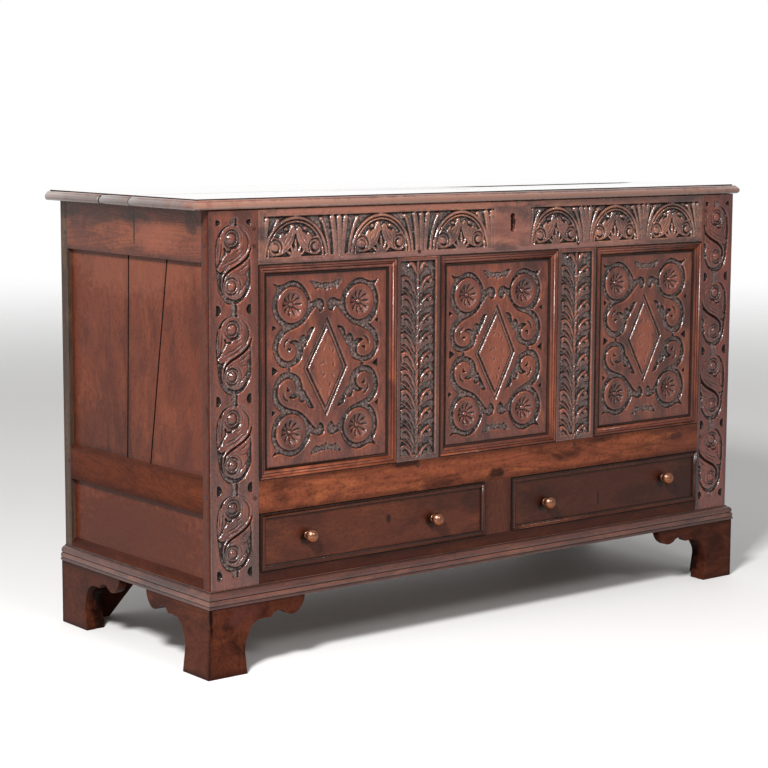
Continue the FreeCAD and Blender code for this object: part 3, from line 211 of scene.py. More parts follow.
def oak(name, deep, body, glow, rough=0.33, glow_share=0.6, figure=0.25, rings=190.0, relief=0.3, dirt=0.7,
        hidden=0.0, blots=(), cracks=(), coat=0.0, dust=OLD_DUST, fibre_share=0.4, gloss=0.4, seam=0.0,
        side_gloss=None, dry_below=None):
    """Old oak: flowing grain and pores along each board, patches of lighter wax, darker along the edges of each board,
    dirt and painted shade in corners and cuts, rubbed arrises lightened for wear and painted highlight, and blots of
    another tone at chosen places, among them painted shadows and highlights."""
    if name in bpy.data.materials:
        return bpy.data.materials[name]
    material = bpy.data.materials.new(name)
    bench = new_bench(material)
    board = bench.mark("board", "Vector")
    # Marks from the mesh: sunk ground, dirt with painted shade in corners and cuts, and wear with painted highlight on
    # arrises and ridges.
    sunk, corner, arris = (bench.mark(key) for key in ("sunk", "dirt_and_shade", "worn"))
    place = bench.place()
    # How far a point is from the nearest edge of its own board, seen on the board's face.
    along, across, through = bench.mark("half", "Vector").vector(
        "SUBTRACT", bench.mark("spot", "Vector").vector("ABSOLUTE")).parts()
    edge = bench.math("MINIMUM", along, across).most(bench.math("MINIMUM", along.most(across), through)) - hidden
    # Noise along and across the grain, in features to the metre.
    mottle = board.noise((120.0, 160.0, 160.0), 3.0, 0.6, 0.4)
    cloud = board.noise((5.0, 13.0, 13.0), 4.0, 0.62, 0.6)
    patch = board.noise((7.0, 17.0, 17.0), 4.0, 0.62, 0.8)
    ring = (board.noise((1.3, 9.0, 9.0), 1.5, 0.45) * rings).sine() * 0.5 + 0.5
    fibre = board.noise((16.0, 380.0, 380.0), 4.0, 0.65)
    pore = board.noise((60.0, 1500.0, 1500.0), 2.0, 0.5)
    stain = board.noise((11.0, 24.0, 24.0), 3.0, 0.6, 1.0)
    speck = board.noise((210.0, 210.0, 210.0), 2.5, 0.7)
    wobble = board.noise((60.0, 60.0, 60.0), 3.0, 0.6) - 0.5
    layers = [
        (colour4(body), cloud.ease(0.34, 0.56)),
        (colour4(glow), patch.ease(0.48, 0.70) * glow_share),
        (colour4(deep, 0.8), ring.ease(0.55, 1.0) * figure),
        (colour4(deep, 0.5), fibre.ease(0.54, 0.72) * fibre_share),
        (colour4(deep, 0.3), pore.ease(0.60, 0.72) * 0.5),
        (colour4(deep, 0.35), stain.ease(0.65, 0.76) * 0.7),
        (colour4(deep, 0.6), mottle.ease(0.50, 0.68) * 0.45),
        (colour4(dust), sunk * (mottle * 0.9 + 0.2)),
        (colour4(deep, 0.2), sunk * speck.ease(0.47, 0.57) * 0.85),
        (colour4(dust, 1.7), sunk * (1.0 - speck.ease(0.36, 0.43)) * 0.45),
        (colour4(deep, 0.25), (1.0 - edge.ease(0.0, 0.016)) * cloud.ease(0.30, 0.62) * dirt),
        # Darker in corners, coves and cut walls: dirt and painted shade.
        (colour4(deep, 0.10), corner.ease(0.08, 0.75) * 0.95),
        # Lighter on rubbed arrises and ridges: wear and painted highlight.
        (colour4(glow, 1.15), arris * patch.ease(0.36, 0.62) * 0.4),
    ]
    for spot, size, share, *tone in blots:
        reach = reach_from(place, spot, size, wobble * 1.2)
        layers.append((colour4(*tone or (deep, 0.12)), (1.0 - reach.ease(0.5, 1.05)) * share))
    roughness = rough + (fibre - 0.5) * 0.2 + (cloud - 0.5) * 0.2 + sunk * 0.1 + (mottle - 0.5) * 0.3 - arris * 0.13
    if dry_below is not None:
        bare = 1.0 - place.parts()[2].ease((dry_below - 0.2) * MM, (dry_below + 0.2) * MM)
        layers.append((colour4((0.16, 0.088, 0.05)), bare * 0.7))
        roughness = roughness + bare * 0.4
        coat = (1.0 - bare) * coat
    colour = colour4(deep)
    for tone, share in layers:
        colour = bench.blend(colour, tone, share)
    uneven = ring * 0.15 + fibre * 0.4 - pore.ease(0.58, 0.7) * 0.5 + cloud * 1.5 + mottle * 1.3
    sockets = {"Base Color": colour, "Roughness": roughness, "Normal": bench.bump(relief, 0.001, uneven),
               "Specular IOR Level": gloss}
    if coat:
        sockets.update({"Coat Weight": coat, "Coat Roughness": 0.08, "Coat IOR": 1.6})
    wood = bench.solid(sockets)
    if side_gloss is not None:
        to_side = bench.facing().vector("ABSOLUTE").parts()[0].ease(0.80, 0.97)
        wood = bench.either(wood, bench.solid({**sockets, "Specular IOR Level": side_gloss}), to_side)
    # A near-black dull coat mixed in: in deep corners and cuts for dirt and painted shade, and along the given dark
    # lines.
    black = corner.ease(0.25, 0.85)
    for spot, size in cracks:
        black = black.most(1.0 - reach_from(place, spot, size, wobble * 0.5).ease(0.7, 1.05))
    # A black line along the edge of each strip: the dark joint with its painted shadow.
    if seam:
        black = black.most(1.0 - across.ease(seam * 0.4, seam))
    dirt_and_shade = bench.solid({"Base Color": (0.008, 0.005, 0.004, 1.0), "Roughness": 0.8, "Specular IOR Level": 0.15})
    bench.finish(bench.either(wood, dirt_and_shade, black * 0.92))
    return material


def metal(name, body, dull, rough, scale, dull_share=1.0, lower=None):
    """Old metal: bright where it is rubbed, dull and pitted elsewhere, and a darker, redder tone on faces that look
    down, a painted shade.
    """
    if name in bpy.data.materials:
        return bpy.data.materials[name]
    material = bpy.data.materials.new(name)
    bench = new_bench(material)
    place = bench.place()
    cloud = place.noise((scale, scale, scale), 4.0, 0.6)
    grit = place.noise((scale * 6, scale * 6, scale * 6))
    shade = cloud.ease(0.40, 0.66) * dull_share
    colour = bench.blend(colour4(body), colour4(dull), shade)
    # Faces that look downwards take the lower tone: painted shade under the knob.
    if lower is not None:
        up = bench.facing().parts()[2]
        colour = bench.blend(colour, colour4(lower), (0.0 - up).ease(-0.25, 0.75) * 0.9)
    bench.finish(bench.solid({"Base Color": colour, "Metallic": 1.0 - shade * 0.35,
                              "Roughness": rough + shade * 0.22 + (grit - 0.5) * 0.1,
                              "Normal": bench.bump(0.2, 0.0005, grit + cloud)}))
    return material


# --- Meshes -----------------------------------------------------------------------------------

def part_strips(shape):
    """Part a frame of strips at its mitres, so that each strip has its own grain."""
    co = np.array([v.co for v in shape.verts])
    low, high = co.min(0), co.max(0)
    middle, half = (low + high) / 2.0, (high - low) / 2.0
    wide = np.argsort(-half)[:2]

    def side(face):
        place = np.array(face.calc_center_median()) - middle
        nearest = wide[np.argmin(half[wide] - np.abs(place[wide]))]
        return nearest, place[nearest] > 0

    bmesh.ops.split_edges(shape, edges=[e for e in shape.edges if len({side(f) for f in e.link_faces}) > 1])


def mark(mesh, name, values, domain="POINT"):
    """Write a number or a vector for each point or face into a mesh."""
    values = np.asarray(values, np.float32)
    kind, key = ("FLOAT", "value") if values.ndim == 1 else ("FLOAT_VECTOR", "vector")
    mesh.attributes.new(name, kind, domain).data.foreach_set(key, values.ravel())


def corner_marks(mesh):
    """Give a mesh the marks that the oak reads, where it has none."""
    for name in ("sunk", "dirt_and_shade", "worn"):
        if name not in mesh.attributes:
            mesh.attributes.new(name, "FLOAT", "POINT")


def read(items, key, width=1, kind=np.float32):
    """One property of all of a mesh's vertices, corners, edges or faces."""
    values = np.zeros(len(items) * width, kind)
    items.foreach_get(key, values)
    return values.reshape(-1, width) if width > 1 else values


def separate_boards(mesh):
    """A number for each vertex: which of the mesh's loose boards it is in."""
    a, b = read(mesh.edges, "vertices", 2, np.int64).T
    label = np.arange(len(mesh.vertices))
    while True:
        lower = np.minimum(label[a], label[b])
        new = label.copy()
        np.minimum.at(new, a, lower)
        np.minimum.at(new, b, lower)
        new = new[new]
        if np.array_equal(new, label):
            return label
        label = new


def lay_grain(mesh, seed, along=None):
    """Mark each vertex with its place on its own board: along the grain, then across it."""
    co = read(mesh.vertices, "co", 3)
    marks = {name: np.zeros_like(co) for name in ("board", "spot", "half")}
    label = np.zeros(len(co), np.int64) if along is not None else separate_boards(mesh)
    draw = np.random.default_rng(seed)
    for one in np.unique(label):
        own = label == one
        low, high = co[own].min(0), co[own].max(0)
        longest = np.argsort(low - high)
        order = list(longest) if along is None else [along] + [k for k in longest if k != along]
        marks["board"][own] = co[own][:, order] + draw.uniform(-20.0, 20.0, 3)
        marks["spot"][own] = (co[own] - (low + high) / 2.0)[:, order]
        marks["half"][own] = ((high - low) / 2.0)[order]
    for name, values in marks.items():
        mark(mesh, name, values)


def add_piece(node, ending, mesh, material):
    """Put a finished mesh in the scene in place of a CAD node, on the body that the node moves with."""
    mesh.name = node + ending
    mesh.materials.clear()
    mesh.materials.append(material)
    piece = bpy.data.objects.new(node + ending, mesh)
    bpy.context.scene.collection.objects.link(piece)
    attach(piece, frame["nodes"][node]["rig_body"])
    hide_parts(node)


def joined_copy(node):
    """A CAD node's mesh with its triangles joined at their corners."""
    shape = bmesh.new()
    shape.from_mesh(frame["nodes"][node].data)
    bmesh.ops.remove_doubles(shape, verts=shape.verts, dist=2e-6)
    return shape


def worked_copy(node, rework=None, coves=0.0):
    """A CAD node's mesh with whole faces, reworked, and with its coves filled."""
    shape = joined_copy(node)
    bmesh.ops.dissolve_limit(shape, angle_limit=math.radians(SAME_FACE), verts=shape.verts, edges=shape.edges)
    bmesh.ops.recalc_face_normals(shape, faces=shape.faces)
    if rework:
        rework(shape)
    if coves:
        fill_coves(shape, coves)
    mesh = bpy.data.meshes.new(node)
    shape.to_mesh(mesh)
    shape.free()
    return mesh


def cut_planes(shape, planes):
    """Cut the faces of a shape along planes, each a point and a direction."""
    for point, normal in planes:
        bmesh.ops.bisect_plane(shape, geom=shape.verts[:] + shape.edges[:] + shape.faces[:], dist=1e-7,
                               plane_co=point, plane_no=normal)


def modified(mesh, kind, settings, inputs=None):
    """A mesh as a modifier leaves it."""
    holder = bpy.data.objects.new("holder", mesh)
    bpy.context.scene.collection.objects.link(holder)
    modifier = holder.modifiers.new("change", kind)
    for key, value in settings.items():
        setattr(modifier, key, value)
    for key, value in (inputs or {}).items():
        modifier[key] = value
    bpy.context.view_layer.update()
    evaluated = holder.evaluated_get(bpy.context.evaluated_depsgraph_get())
    made = bpy.data.meshes.new_from_object(evaluated)
    bpy.data.objects.remove(holder)
    return made


def fill_coves(shape, share):
    """Mark the inner corners of a moulding, dark with dirt, old wax and painted shade, and its ridges, light with wear
    and painted highlight.
    """
    dirt_and_shade = shape.verts.layers.float.new("dirt_and_shade")
    worn = shape.verts.layers.float.new("worn")
    for edge in shape.edges:
        bend = edge.calc_face_angle_signed(0.0)
        for vert in edge.verts:
            if bend < -0.2:
                vert[dirt_and_shade] = max(vert[dirt_and_shade], share * min(-bend / 0.8, 1.0))
            elif bend > 0.3:
                vert[worn] = 1.0


def keep_flat(mesh, narrow=8.0, slant=40.0):
    """Let every wide flat face keep its own direction, right up to the rounded arris beside it."""
    corner = read(mesh.corner_normals, "vector", 3, np.float64)
    vert = read(mesh.loops, "vertex_index", 1, np.int64)
    co = read(mesh.vertices, "co", 3)
    flat = np.zeros((len(co), 3))
    for face in mesh.polygons:
        ring = co[list(face.vertices)]
        around = np.linalg.norm(np.roll(ring, -1, 0) - ring, axis=1).sum()
        if 2.0 * face.area / around > narrow * MM:
            flat[list(face.vertices)] = face.normal
            corner[face.loop_start:face.loop_start + face.loop_total] = face.normal
    near = (flat[vert] * corner).sum(1) > math.cos(math.radians(slant))
    corner[near] = flat[vert][near]
    mesh.normals_split_custom_set(corner.tolist())


def soften(node, arris, material, slot, seed, smooth=32.0, rework=None, grimy=None, coves=0.0):
    """A CAD node with its sharp arrises rubbed round. Faces along a grimy axis are dark with dirt."""
    mesh = worked_copy(node, rework, coves)
    if arris:
        mesh.materials.append(None)
        mesh.materials.append(None)
        mesh = modified(mesh, "BEVEL", {"width": arris * MM, "segments": 2, "limit_method": "ANGLE",
                                        "angle_limit": math.radians(SHARP_EDGE), "material": 1,
                                        "use_clamp_overlap": True})
    if not coves:
        mark(mesh, "worn", read(mesh.polygons, "material_index", 1, np.int32) == 1, "FACE")
    mesh.polygons.foreach_set("material_index", np.zeros(len(mesh.polygons), np.int32))
    if grimy is not None:
        mark(mesh, "dirt_and_shade", [abs(face.normal[grimy]) > 0.6 for face in mesh.polygons], "FACE")
    mesh.shade_smooth()
    mesh.set_sharp_from_angle(angle=math.radians(smooth))
    keep_flat(mesh)
    corner_marks(mesh)
    lay_grain(mesh, seed)
    add_piece(node, "_worn", mesh, material)


def soften_all(nodes, start, arris, material, slot, **rest):
    """Soften a row of nodes in one material, each with its own grain."""
    for seed, node in enumerate(nodes, start):
        soften(node, arris, material, slot, seed, **rest)


# --- Carving ----------------------------------------------------------------------------------

def ease(value):
    """0 below 0, 1 above 1, smooth between."""
    t = np.clip(value, 0.0, 1.0)
    return t * t * (3.0 - 2.0 * t)


def flowing(points, closed=False, fine=5):
    """A curve through the points. A point with a third value is a sharp corner."""
    places = np.array([p[:2] for p in points], float)
    sharp = {i for i, p in enumerate(points) if len(p) > 2}
    if closed and sharp:
        first = min(sharp)
        places = np.roll(places, -first, 0)
        sharp = {i - first for i in sharp}
    if closed:
        places = np.vstack([places, places[:1]])
    last = len(places) - 1
    wrap = closed and not sharp
    curve = []
    for i in range(last):
        here, there = places[i], places[i + 1]
        before = here if i in sharp or (i == 0 and not wrap) else places[i - 1 if i else last - 1]
        ends = i + 1 in sharp or (i + 1 == last and not wrap)
        after = there if ends else places[i + 2 if i + 2 <= last else 1]
        for step in range(fine):
            t = step / fine
            curve.append(0.5 * (2 * here + (there - before) * t
                                + (2 * before - 5 * here + 4 * there - after) * t * t
                                + (3 * here - before - 3 * there + after) * t ** 3))
    curve.append(places[-1])
    return np.array(curve)


def away(u, v, path):
    """How far each point is from a path, and how far along the path that is, from 0 to 1."""
    steps = np.hypot(*(path[1:] - path[:-1]).T)
    run = np.concatenate(([0.0], np.cumsum(steps)))
    best = np.full(u.shape, 1e9)
    share = np.zeros(u.shape)
    for a, b, start, step in zip(path[:-1], path[1:], run, steps):
        if step < 1e-6:
            continue
        d = b - a
        t = np.clip(((u - a[0]) * d[0] + (v - a[1]) * d[1]) / (step * step), 0.0, 1.0)
        gap = np.hypot(u - a[0] - t * d[0], v - a[1] - t * d[1])
        closer = gap < best
        best = np.where(closer, gap, best)
        share = np.where(closer, (start + t * step) / run[-1], share)
    return best, share


def outside(u, v, outline):
    """Signed distance from a closed outline: below 0 inside it."""
    odd = np.zeros(u.shape, bool)
    for (ax, ay), (bx, by) in zip(outline, np.roll(outline, -1, 0)):
        if ay != by:
            odd ^= ((ay > v) != (by > v)) & (u < ax + (v - ay) * (bx - ax) / (by - ay))
    closed = np.vstack([outline, outline[:1]])
    return np.where(odd, -1.0, 1.0) * away(u, v, closed)[0]


def circle(u, v, radius, count=40):
    turn = np.linspace(0.0, 2.0 * math.pi, count, endpoint=False)
    return np.stack([u + radius * np.cos(turn), v + radius * np.sin(turn)], 1)


def oblong(low_u, high_u, low_v, high_v):
    return np.array([(low_u, low_v), (high_u, low_v), (high_u, high_v), (low_u, high_v)], float)


def arc(u, v, radius, low, high, count=16):
    """Part of a circle between two angles in degrees."""
    turn = np.radians(np.linspace(low, high, count))
    return np.stack([u + radius * np.cos(turn), v + radius * np.sin(turn)], 1)


def blurred(height, reach):
    """Heights averaged over a square."""
    for axis in (0, 1):
        pads = [(reach, reach) if k == axis else (0, 0) for k in (0, 1)]
        padded = np.pad(height, pads, mode="edge")
        total = np.cumsum(np.insert(padded, 0, 0.0, axis=axis), axis=axis)
        width = 2 * reach + 1
        size = height.shape[axis]
        high = np.take(total, range(width, width + size), axis=axis)
        low = np.take(total, range(size), axis=axis)
        height = (high - low) / width
    return height


class Carving:
    """A board's face as a fine grid of heights, in millimetres."""

    def __init__(self, us, vs, seed):
        self.us = us
        self.vs = vs
        self.u, self.v = np.meshgrid(us, vs)
        self.height = np.zeros_like(self.u)
        self.ground = np.zeros_like(self.u)
        self.clean = np.zeros_like(self.u)
        self.draw = np.random.default_rng(seed)

    def near(self, points, margin):
        """The part of the grid round some points."""
        low = points.min(0) - margin
        high = points.max(0) + margin
        i = np.searchsorted(self.us, (low[0], high[0]))
        j = np.searchsorted(self.vs, (low[1], high[1]))
        return np.s_[j[0]:j[1], i[0]:i[1]]

    def sink(self, outline, depth, island=None, wall=1.5):
        """Lower the ground inside an outline and leave an island standing, its arrises rubbed."""
        part = self.near(outline, 8.0)
        u, v = self.u[part], self.v[part]
        edge = outside(u, v, outline)
        if island is not None:
            edge = np.maximum(edge, -outside(u, v, island))
        low = ease((0.3 - edge) / wall)
        rubbed = 0.6 * np.exp(-np.clip(edge, 0.0, None) / 1.3) * (low < 1.0)
        self.height[part] = np.minimum(self.height[part] - rubbed * (1.0 - low), -depth * low)
        self.ground[part] = np.maximum(self.ground[part], low)

    def plate(self, outline, level, wall=1.8):
        """Leave the wood inside an outline standing up to a level, over what is lower there."""
        part = self.near(outline, 4.0)
        up = ease((0.5 - outside(self.u[part], self.v[part], outline)) / wall)
        here = self.height[part]
        raised = here + (level - here) * up
        taken = (up > 0) & (raised > here)
        self.height[part] = np.where(taken, raised, here)
        self.ground[part] = np.where(taken, self.ground[part] * (1.0 - up), self.ground[part])

    def gouge(self, path, width, depth, dusty=0.3):
        """A round-bottomed groove whose half width runs from the first to the last value."""
        part = self.near(path, max(width) + 2.0)
        gap, share = away(self.u[part], self.v[part], path)
        half = np.interp(share, np.linspace(0.0, 1.0, len(width)), width)
        low = np.clip(1.0 - (gap / half) ** 2, 0.0, None)
        self.height[part] -= depth * low
        self.ground[part] = np.maximum(self.ground[part], dusty * low)

    def bead(self, path, radius, top):
        """A rounded ridge standing up to a height, over what is lower there."""
        part = self.near(path, max(radius) + 2.0)
        gap, share = away(self.u[part], self.v[part], path)
        r = np.interp(share, np.linspace(0.0, 1.0, len(radius)), radius)
        peak = np.interp(share, np.linspace(0.0, 1.0, len(top)), top)
        round_top = peak - r * 0.85 * (1.0 - np.sqrt(np.clip(1.0 - (gap / r) ** 2, 0.0, None)))
        taken = (gap < r) & (round_top > self.height[part])
        self.height[part] = np.where(taken, round_top, self.height[part])
        self.ground[part] = np.where(taken, self.ground[part] * ease((gap / r - 0.75) / 0.25), self.ground[part])

    def knob(self, u, v, radius, top, rise=0.85, alone=False):
        """A rounded boss, over what is lower there or alone in its place."""
        part = self.near(np.array([[u, v]]), radius + 2.0)
        gap = np.hypot(self.u[part] - u, self.v[part] - v)
        dome = top - radius * rise * (gap / radius) ** 2
        taken = (gap < radius) & (alone | (dome > self.height[part]))
        self.height[part] = np.where(taken, dome, self.height[part])
        self.ground[part] = np.where(taken, 0.0, self.ground[part])

    def dull(self, outline, amount, clean=0.0):
        """Leave the wood inside an outline grey with old dust, and its cuts less black."""
        part = self.near(outline, 3.0)
        inside = ease((1.0 - outside(self.u[part], self.v[part], outline)) / 3.0)
        self.ground[part] = np.maximum(self.ground[part], amount * inside)
        self.clean[part] = np.maximum(self.clean[part], clean * inside)

    def blacken(self, outline):
        """Paint the inside of an outline black: dirt and old wax, and painted shade in a deep cut."""
        part = self.near(outline, 3.0)
        self.clean[part] = np.where(outside(self.u[part], self.v[part], outline) < 0.8, -3.0, self.clean[part])

    def marks(self):
        """How sunk each point is, how dark with dirt and painted shade, and how light with wear and painted highlight.
        """
        bend = self.height - blurred(self.height, 2)
        wide = self.height - blurred(self.height, 5)
        slope = np.hypot(*np.gradient(self.height, self.vs, self.us))
        # Steep walls and hollows are darkened, for dirt and painted shade; convex places are lightened, for wear and
        # painted highlight.
        steep = np.clip((slope - 0.55) / 1.1, 0.0, 1.0) * np.clip(self.ground * 1.7 + 0.1, 0.0, 1.0)
        worn = np.clip(bend / 0.55, 0.0, 1.0) * (1.0 - self.ground)
        dirt_and_shade = 0.65 * steep + np.clip(-bend / 0.8, 0.0, 1.0) * 0.45 + np.clip(-wide / 3.2, 0.0, 1.0) * 0.3
        dirt_and_shade = dirt_and_shade * (1.0 - self.clean) + np.clip(-self.clean, 0.0, 1.0) * 0.5
        return {"sunk": np.clip(self.ground, 0.0, 1.0), "dirt_and_shade": np.clip(dirt_and_shade, 0.0, 1.0), "worn": worn}

    def wander(self, amount, wave=120.0):
        """Leave the face a little uneven, as a hand plane does."""
        for _ in range(4):
            angle, phase = self.draw.uniform(0.0, 2.0 * math.pi, 2)
            pitch = 2.0 * math.pi / (wave * self.draw.uniform(0.6, 1.7))
            self.height += amount * 0.5 * np.sin(pitch * (self.u * math.cos(angle) + self.v * math.sin(angle)) + phase)

    def punch(self, amount, floor=5.9):
        """Roughen the sunk ground, as a punch does, and go no deeper than a floor."""
        self.height = self.height * 0.4 + blurred(self.height, 1) * 0.6
        rough = self.draw.uniform(-1.0, 1.0, self.height.shape)
        self.height += amount * (rough * 0.3 + blurred(rough, 1) * 3.0 + blurred(rough, 2) * 2.0) * self.ground
        self.height = np.maximum(self.height, -floor)

    def round_edges(self, radius):
        """Rub the board's own arrises."""
        gap = np.minimum.reduce([self.u - self.us[0], self.us[-1] - self.u, self.v - self.vs[0], self.vs[-1] - self.v])
        short = np.clip(radius - gap, 0.0, radius)
        self.height -= radius - np.sqrt(radius ** 2 - short ** 2)

    def slip(self, amount):
        """A small slip of the carver's hand."""
        return self.draw.uniform(-amount, amount, 2)


def lines(low, high, step):
    """Evenly spaced grid lines from one edge to the other."""
    return np.linspace(low, high, int(math.ceil((high - low) / step)) + 1)


def cap_faces(points, edges, flip):
    """Triangles that close one or more flat loops."""
    shape = bmesh.new()
    verts = [shape.verts.new(p) for p in points]
    made = [shape.edges.new((verts[a], verts[b])) for a, b in edges]
    shape.verts.index_update()
    bmesh.ops.triangle_fill(shape, use_beauty=False, use_dissolve=False, edges=made)
    faces = []
    for face in shape.faces:
        corners = [v.index for v in face.verts]
        faces.append(corners[::-1] if face.normal.dot(flip) < 0 else corners)
    shape.free()
    return faces


def carved_slab(carving, place, back, hole=None):
    """Points, faces and marks of a closed slab with the carved face in front and a plain back."""
    rows, cols = carving.u.shape
    u, v = carving.u.copy(), carving.v.copy()
    index = np.arange(rows * cols).reshape(rows, cols)
    quads = np.stack([index[:-1, :-1], index[:-1, 1:], index[1:, 1:], index[1:, :-1]], -1)
    keep = np.ones((rows - 1, cols - 1), bool)
    if hole is not None:
        part = carving.near(hole, 4.0)
        gap = outside(u[part], v[part], hole)
        centre_gap = (gap[:-1, :-1] + gap[1:, 1:] + gap[1:, :-1] + gap[:-1, 1:]) / 4.0
        inner = (slice(part[0].start, part[0].stop - 1), slice(part[1].start, part[1].stop - 1))
        keep[inner] = centre_gap > 0.0
        used_out = np.zeros((rows, cols), bool)
        used_in = np.zeros((rows, cols), bool)
        for rows_shift in (0, 1):
            for cols_shift in (0, 1):
                window = (slice(rows_shift, rows - 1 + rows_shift), slice(cols_shift, cols - 1 + cols_shift))
                used_out[window] |= keep
                used_in[window] |= ~keep
        rim = (used_out & used_in)[part]
        slope_v, slope_u = np.gradient(gap, carving.vs[part[0]], carving.us[part[1]])
        length = np.maximum(np.hypot(slope_u, slope_v), 0.3)
        u[part] = np.where(rim, u[part] - gap * slope_u / length ** 2, u[part])
        v[part] = np.where(rim, v[part] - gap * slope_v / length ** 2, v[part])
    quads = quads[keep]
    front = place(u.ravel(), v.ravel(), carving.height.ravel())
    outward = (place(np.zeros(1), np.zeros(1), np.ones(1)) - place(np.zeros(1), np.zeros(1), np.zeros(1)))[0]
    a, b, c = front[quads[0, 0]], front[quads[0, 1]], front[quads[0, 2]]
    if np.dot(np.cross(b - a, c - a), outward) < 0:
        quads = quads[:, ::-1]
    starts = quads.ravel()
    ends = np.roll(quads, -1, 1).ravel()
    total = rows * cols
    lone = ~np.isin(starts * total + ends, ends * total + starts)
    starts, ends = starts[lone], ends[lone]
    rim = np.unique(starts)
    behind = place(u.ravel()[rim], v.ravel()[rim], np.full(len(rim), back))
    new_index = np.zeros(total, np.int64)
    new_index[rim] = np.arange(len(rim))
    local = np.stack([new_index[starts], new_index[ends]], 1)
    cap = cap_faces(behind.tolist(), local.tolist(), Vector(-outward))
    used = np.unique(quads)
    compact = np.full(total, -1)
    compact[used] = np.arange(len(used))
    offset = len(used)
    walls = np.stack([compact[ends], compact[starts], offset + local[:, 0], offset + local[:, 1]], 1)
    points = np.vstack([front[used], behind])
    faces = compact[quads].tolist() + walls.tolist() + [[offset + k for k in face] for face in cap]
    marks = {name: np.concatenate([values.ravel()[used], np.zeros(len(rim))])
             for name, values in carving.marks().items()}
    return points, faces, marks, len(quads)


def rest_of_board(node, point, normal):
    """Points and faces of what is left of a CAD node behind a plane, closed."""
    shape = joined_copy(node)
    everything = shape.verts[:] + shape.edges[:] + shape.faces[:]
    made = bmesh.ops.bisect_plane(shape, geom=everything, dist=1e-7, plane_co=point, plane_no=normal, clear_outer=True)
    rim = [e for e in made["geom_cut"] if isinstance(e, bmesh.types.BMEdge)]
    bmesh.ops.triangle_fill(shape, use_beauty=False, use_dissolve=False, edges=rim)
    bmesh.ops.recalc_face_normals(shape, faces=shape.faces)
    shape.verts.index_update()
    points = np.array([v.co for v in shape.verts])
    faces = [[v.index for v in face.verts] for face in shape.faces]
    shape.free()
    return points, faces


def carved_piece(node, carving, face_y, thick, grain, material, seed, hole=None):
    """A CAD board whose front is carved: the carved slab, and the rest of the board behind it."""
    points, faces, marks, carved = carved_slab(carving, on_front(face_y), -thick, hole)
    plane = (0.0, (face_y + thick + CARCASE_Y) * MM, 0.0)
    rest, rest_faces = rest_of_board(node, plane, (0.0, -1.0, 0.0))
    faces = faces + [[len(points) + k for k in face] for face in rest_faces]
    mesh = bpy.data.meshes.new(node)
    mesh.from_pydata(np.vstack([points, rest]).tolist(), [], faces)
    mesh.polygons.foreach_set("use_smooth", np.arange(len(faces)) < carved)
    for key, values in marks.items():
        mark(mesh, key, np.concatenate([values, np.zeros(len(rest))]))
    lay_grain(mesh, seed, grain)
    mesh.validate()
    add_piece(node, "_carved", mesh, material)


def on_front(face_y):
    """Places a drawing on an upright face that looks forwards."""
    def place(u, v, h):
        return np.stack([(u + CARCASE_X) * MM, (face_y - h + CARCASE_Y) * MM, v * MM], 1)
    return place


# --- Panels -----------------------------------------------------------------------------------

ARABESQUE = (
    (-127, 166, 1), (-114, 160.5), (-102, 161.5), (-92, 165.5), (-80, 168), (-66, 165), (-54, 157), (-44, 145.5),
    (-38, 135.5), (-35, 127, 1), (-28, 129), (-20, 132.5), (-11, 131.5), (-4.5, 126), (-3, 118), (-6.5, 110.5),
    (-14, 105.5, 1), (-19, 111), (-23, 117.5, 1), (-31, 110), (-40, 99.5), (-50, 89.5), (-61, 81.5), (-75, 76),
    (-90, 71), (-103, 63), (-111, 52), (-113.5, 40), (-110.5, 28), (-102, 20), (-92, 16.5), (-83, 17.5),
    (-76, 23), (-73, 32), (-75, 40), (-80.5, 46), (-89, 49.5, 1), (-83, 53.5), (-74, 54), (-66, 50, 1),
    (-62, 60.5), (-54, 64), (-47.5, 59, 1), (-44.5, 70), (-37, 77), (-26, 79, 1), (-31, 70), (-37, 60),
    (-43, 51.5), (-47.5, 43, 1), (-53.5, 38), (-56, 28), (-60, 18), (-68, 10.5), (-76, 7), (-84, 4.5, 1),
    (-84, -1, 1), (-92, -1, 1), (-92, 3.5, 1), (-103, 5), (-113, 11), (-121, 22), (-125.5, 34), (-127, 45),
    (-124, 57), (-118, 68), (-109.5, 75.5), (-103, 80.5, 1), (-112, 87), (-120.5, 97), (-125.5, 110), (-127, 124),
    (-124, 138), (-119.5, 147), (-116.5, 152, 1), (-121, 159),
)
ROSETTE = (-80, 121.5)
ROSETTE_RADIUS = 34.5
ROSETTE_DISH = 23.5
ROSETTE_BOSS = 4.2
SCROLL_EYE = (-89, 35)
SCROLL_CUT = ((-100, 41), (-99.5, 48), (-95.5, 54), (-89, 58))
BAT = (
    (-38, 167, 1), (-28, 166.5), (-18, 163.5, 1), (-8, 161.5), (0, 163, 1), (8, 161.5), (18, 163.5, 1), (28, 166.5),
    (38, 167, 1), (33, 159), (24, 149, 1), (16, 152.5), (9, 149, 1), (5, 151), (0, 145, 1), (-5, 151), (-9, 149, 1),
    (-16, 152.5), (-24, 149, 1), (-33, 159),
)
SMALL_NICK = ((-126, 5), (-126, -5), (-118, 0))
LARGE_NICK = ((-126, 8.5), (-126, -8.5), (-113, 0))
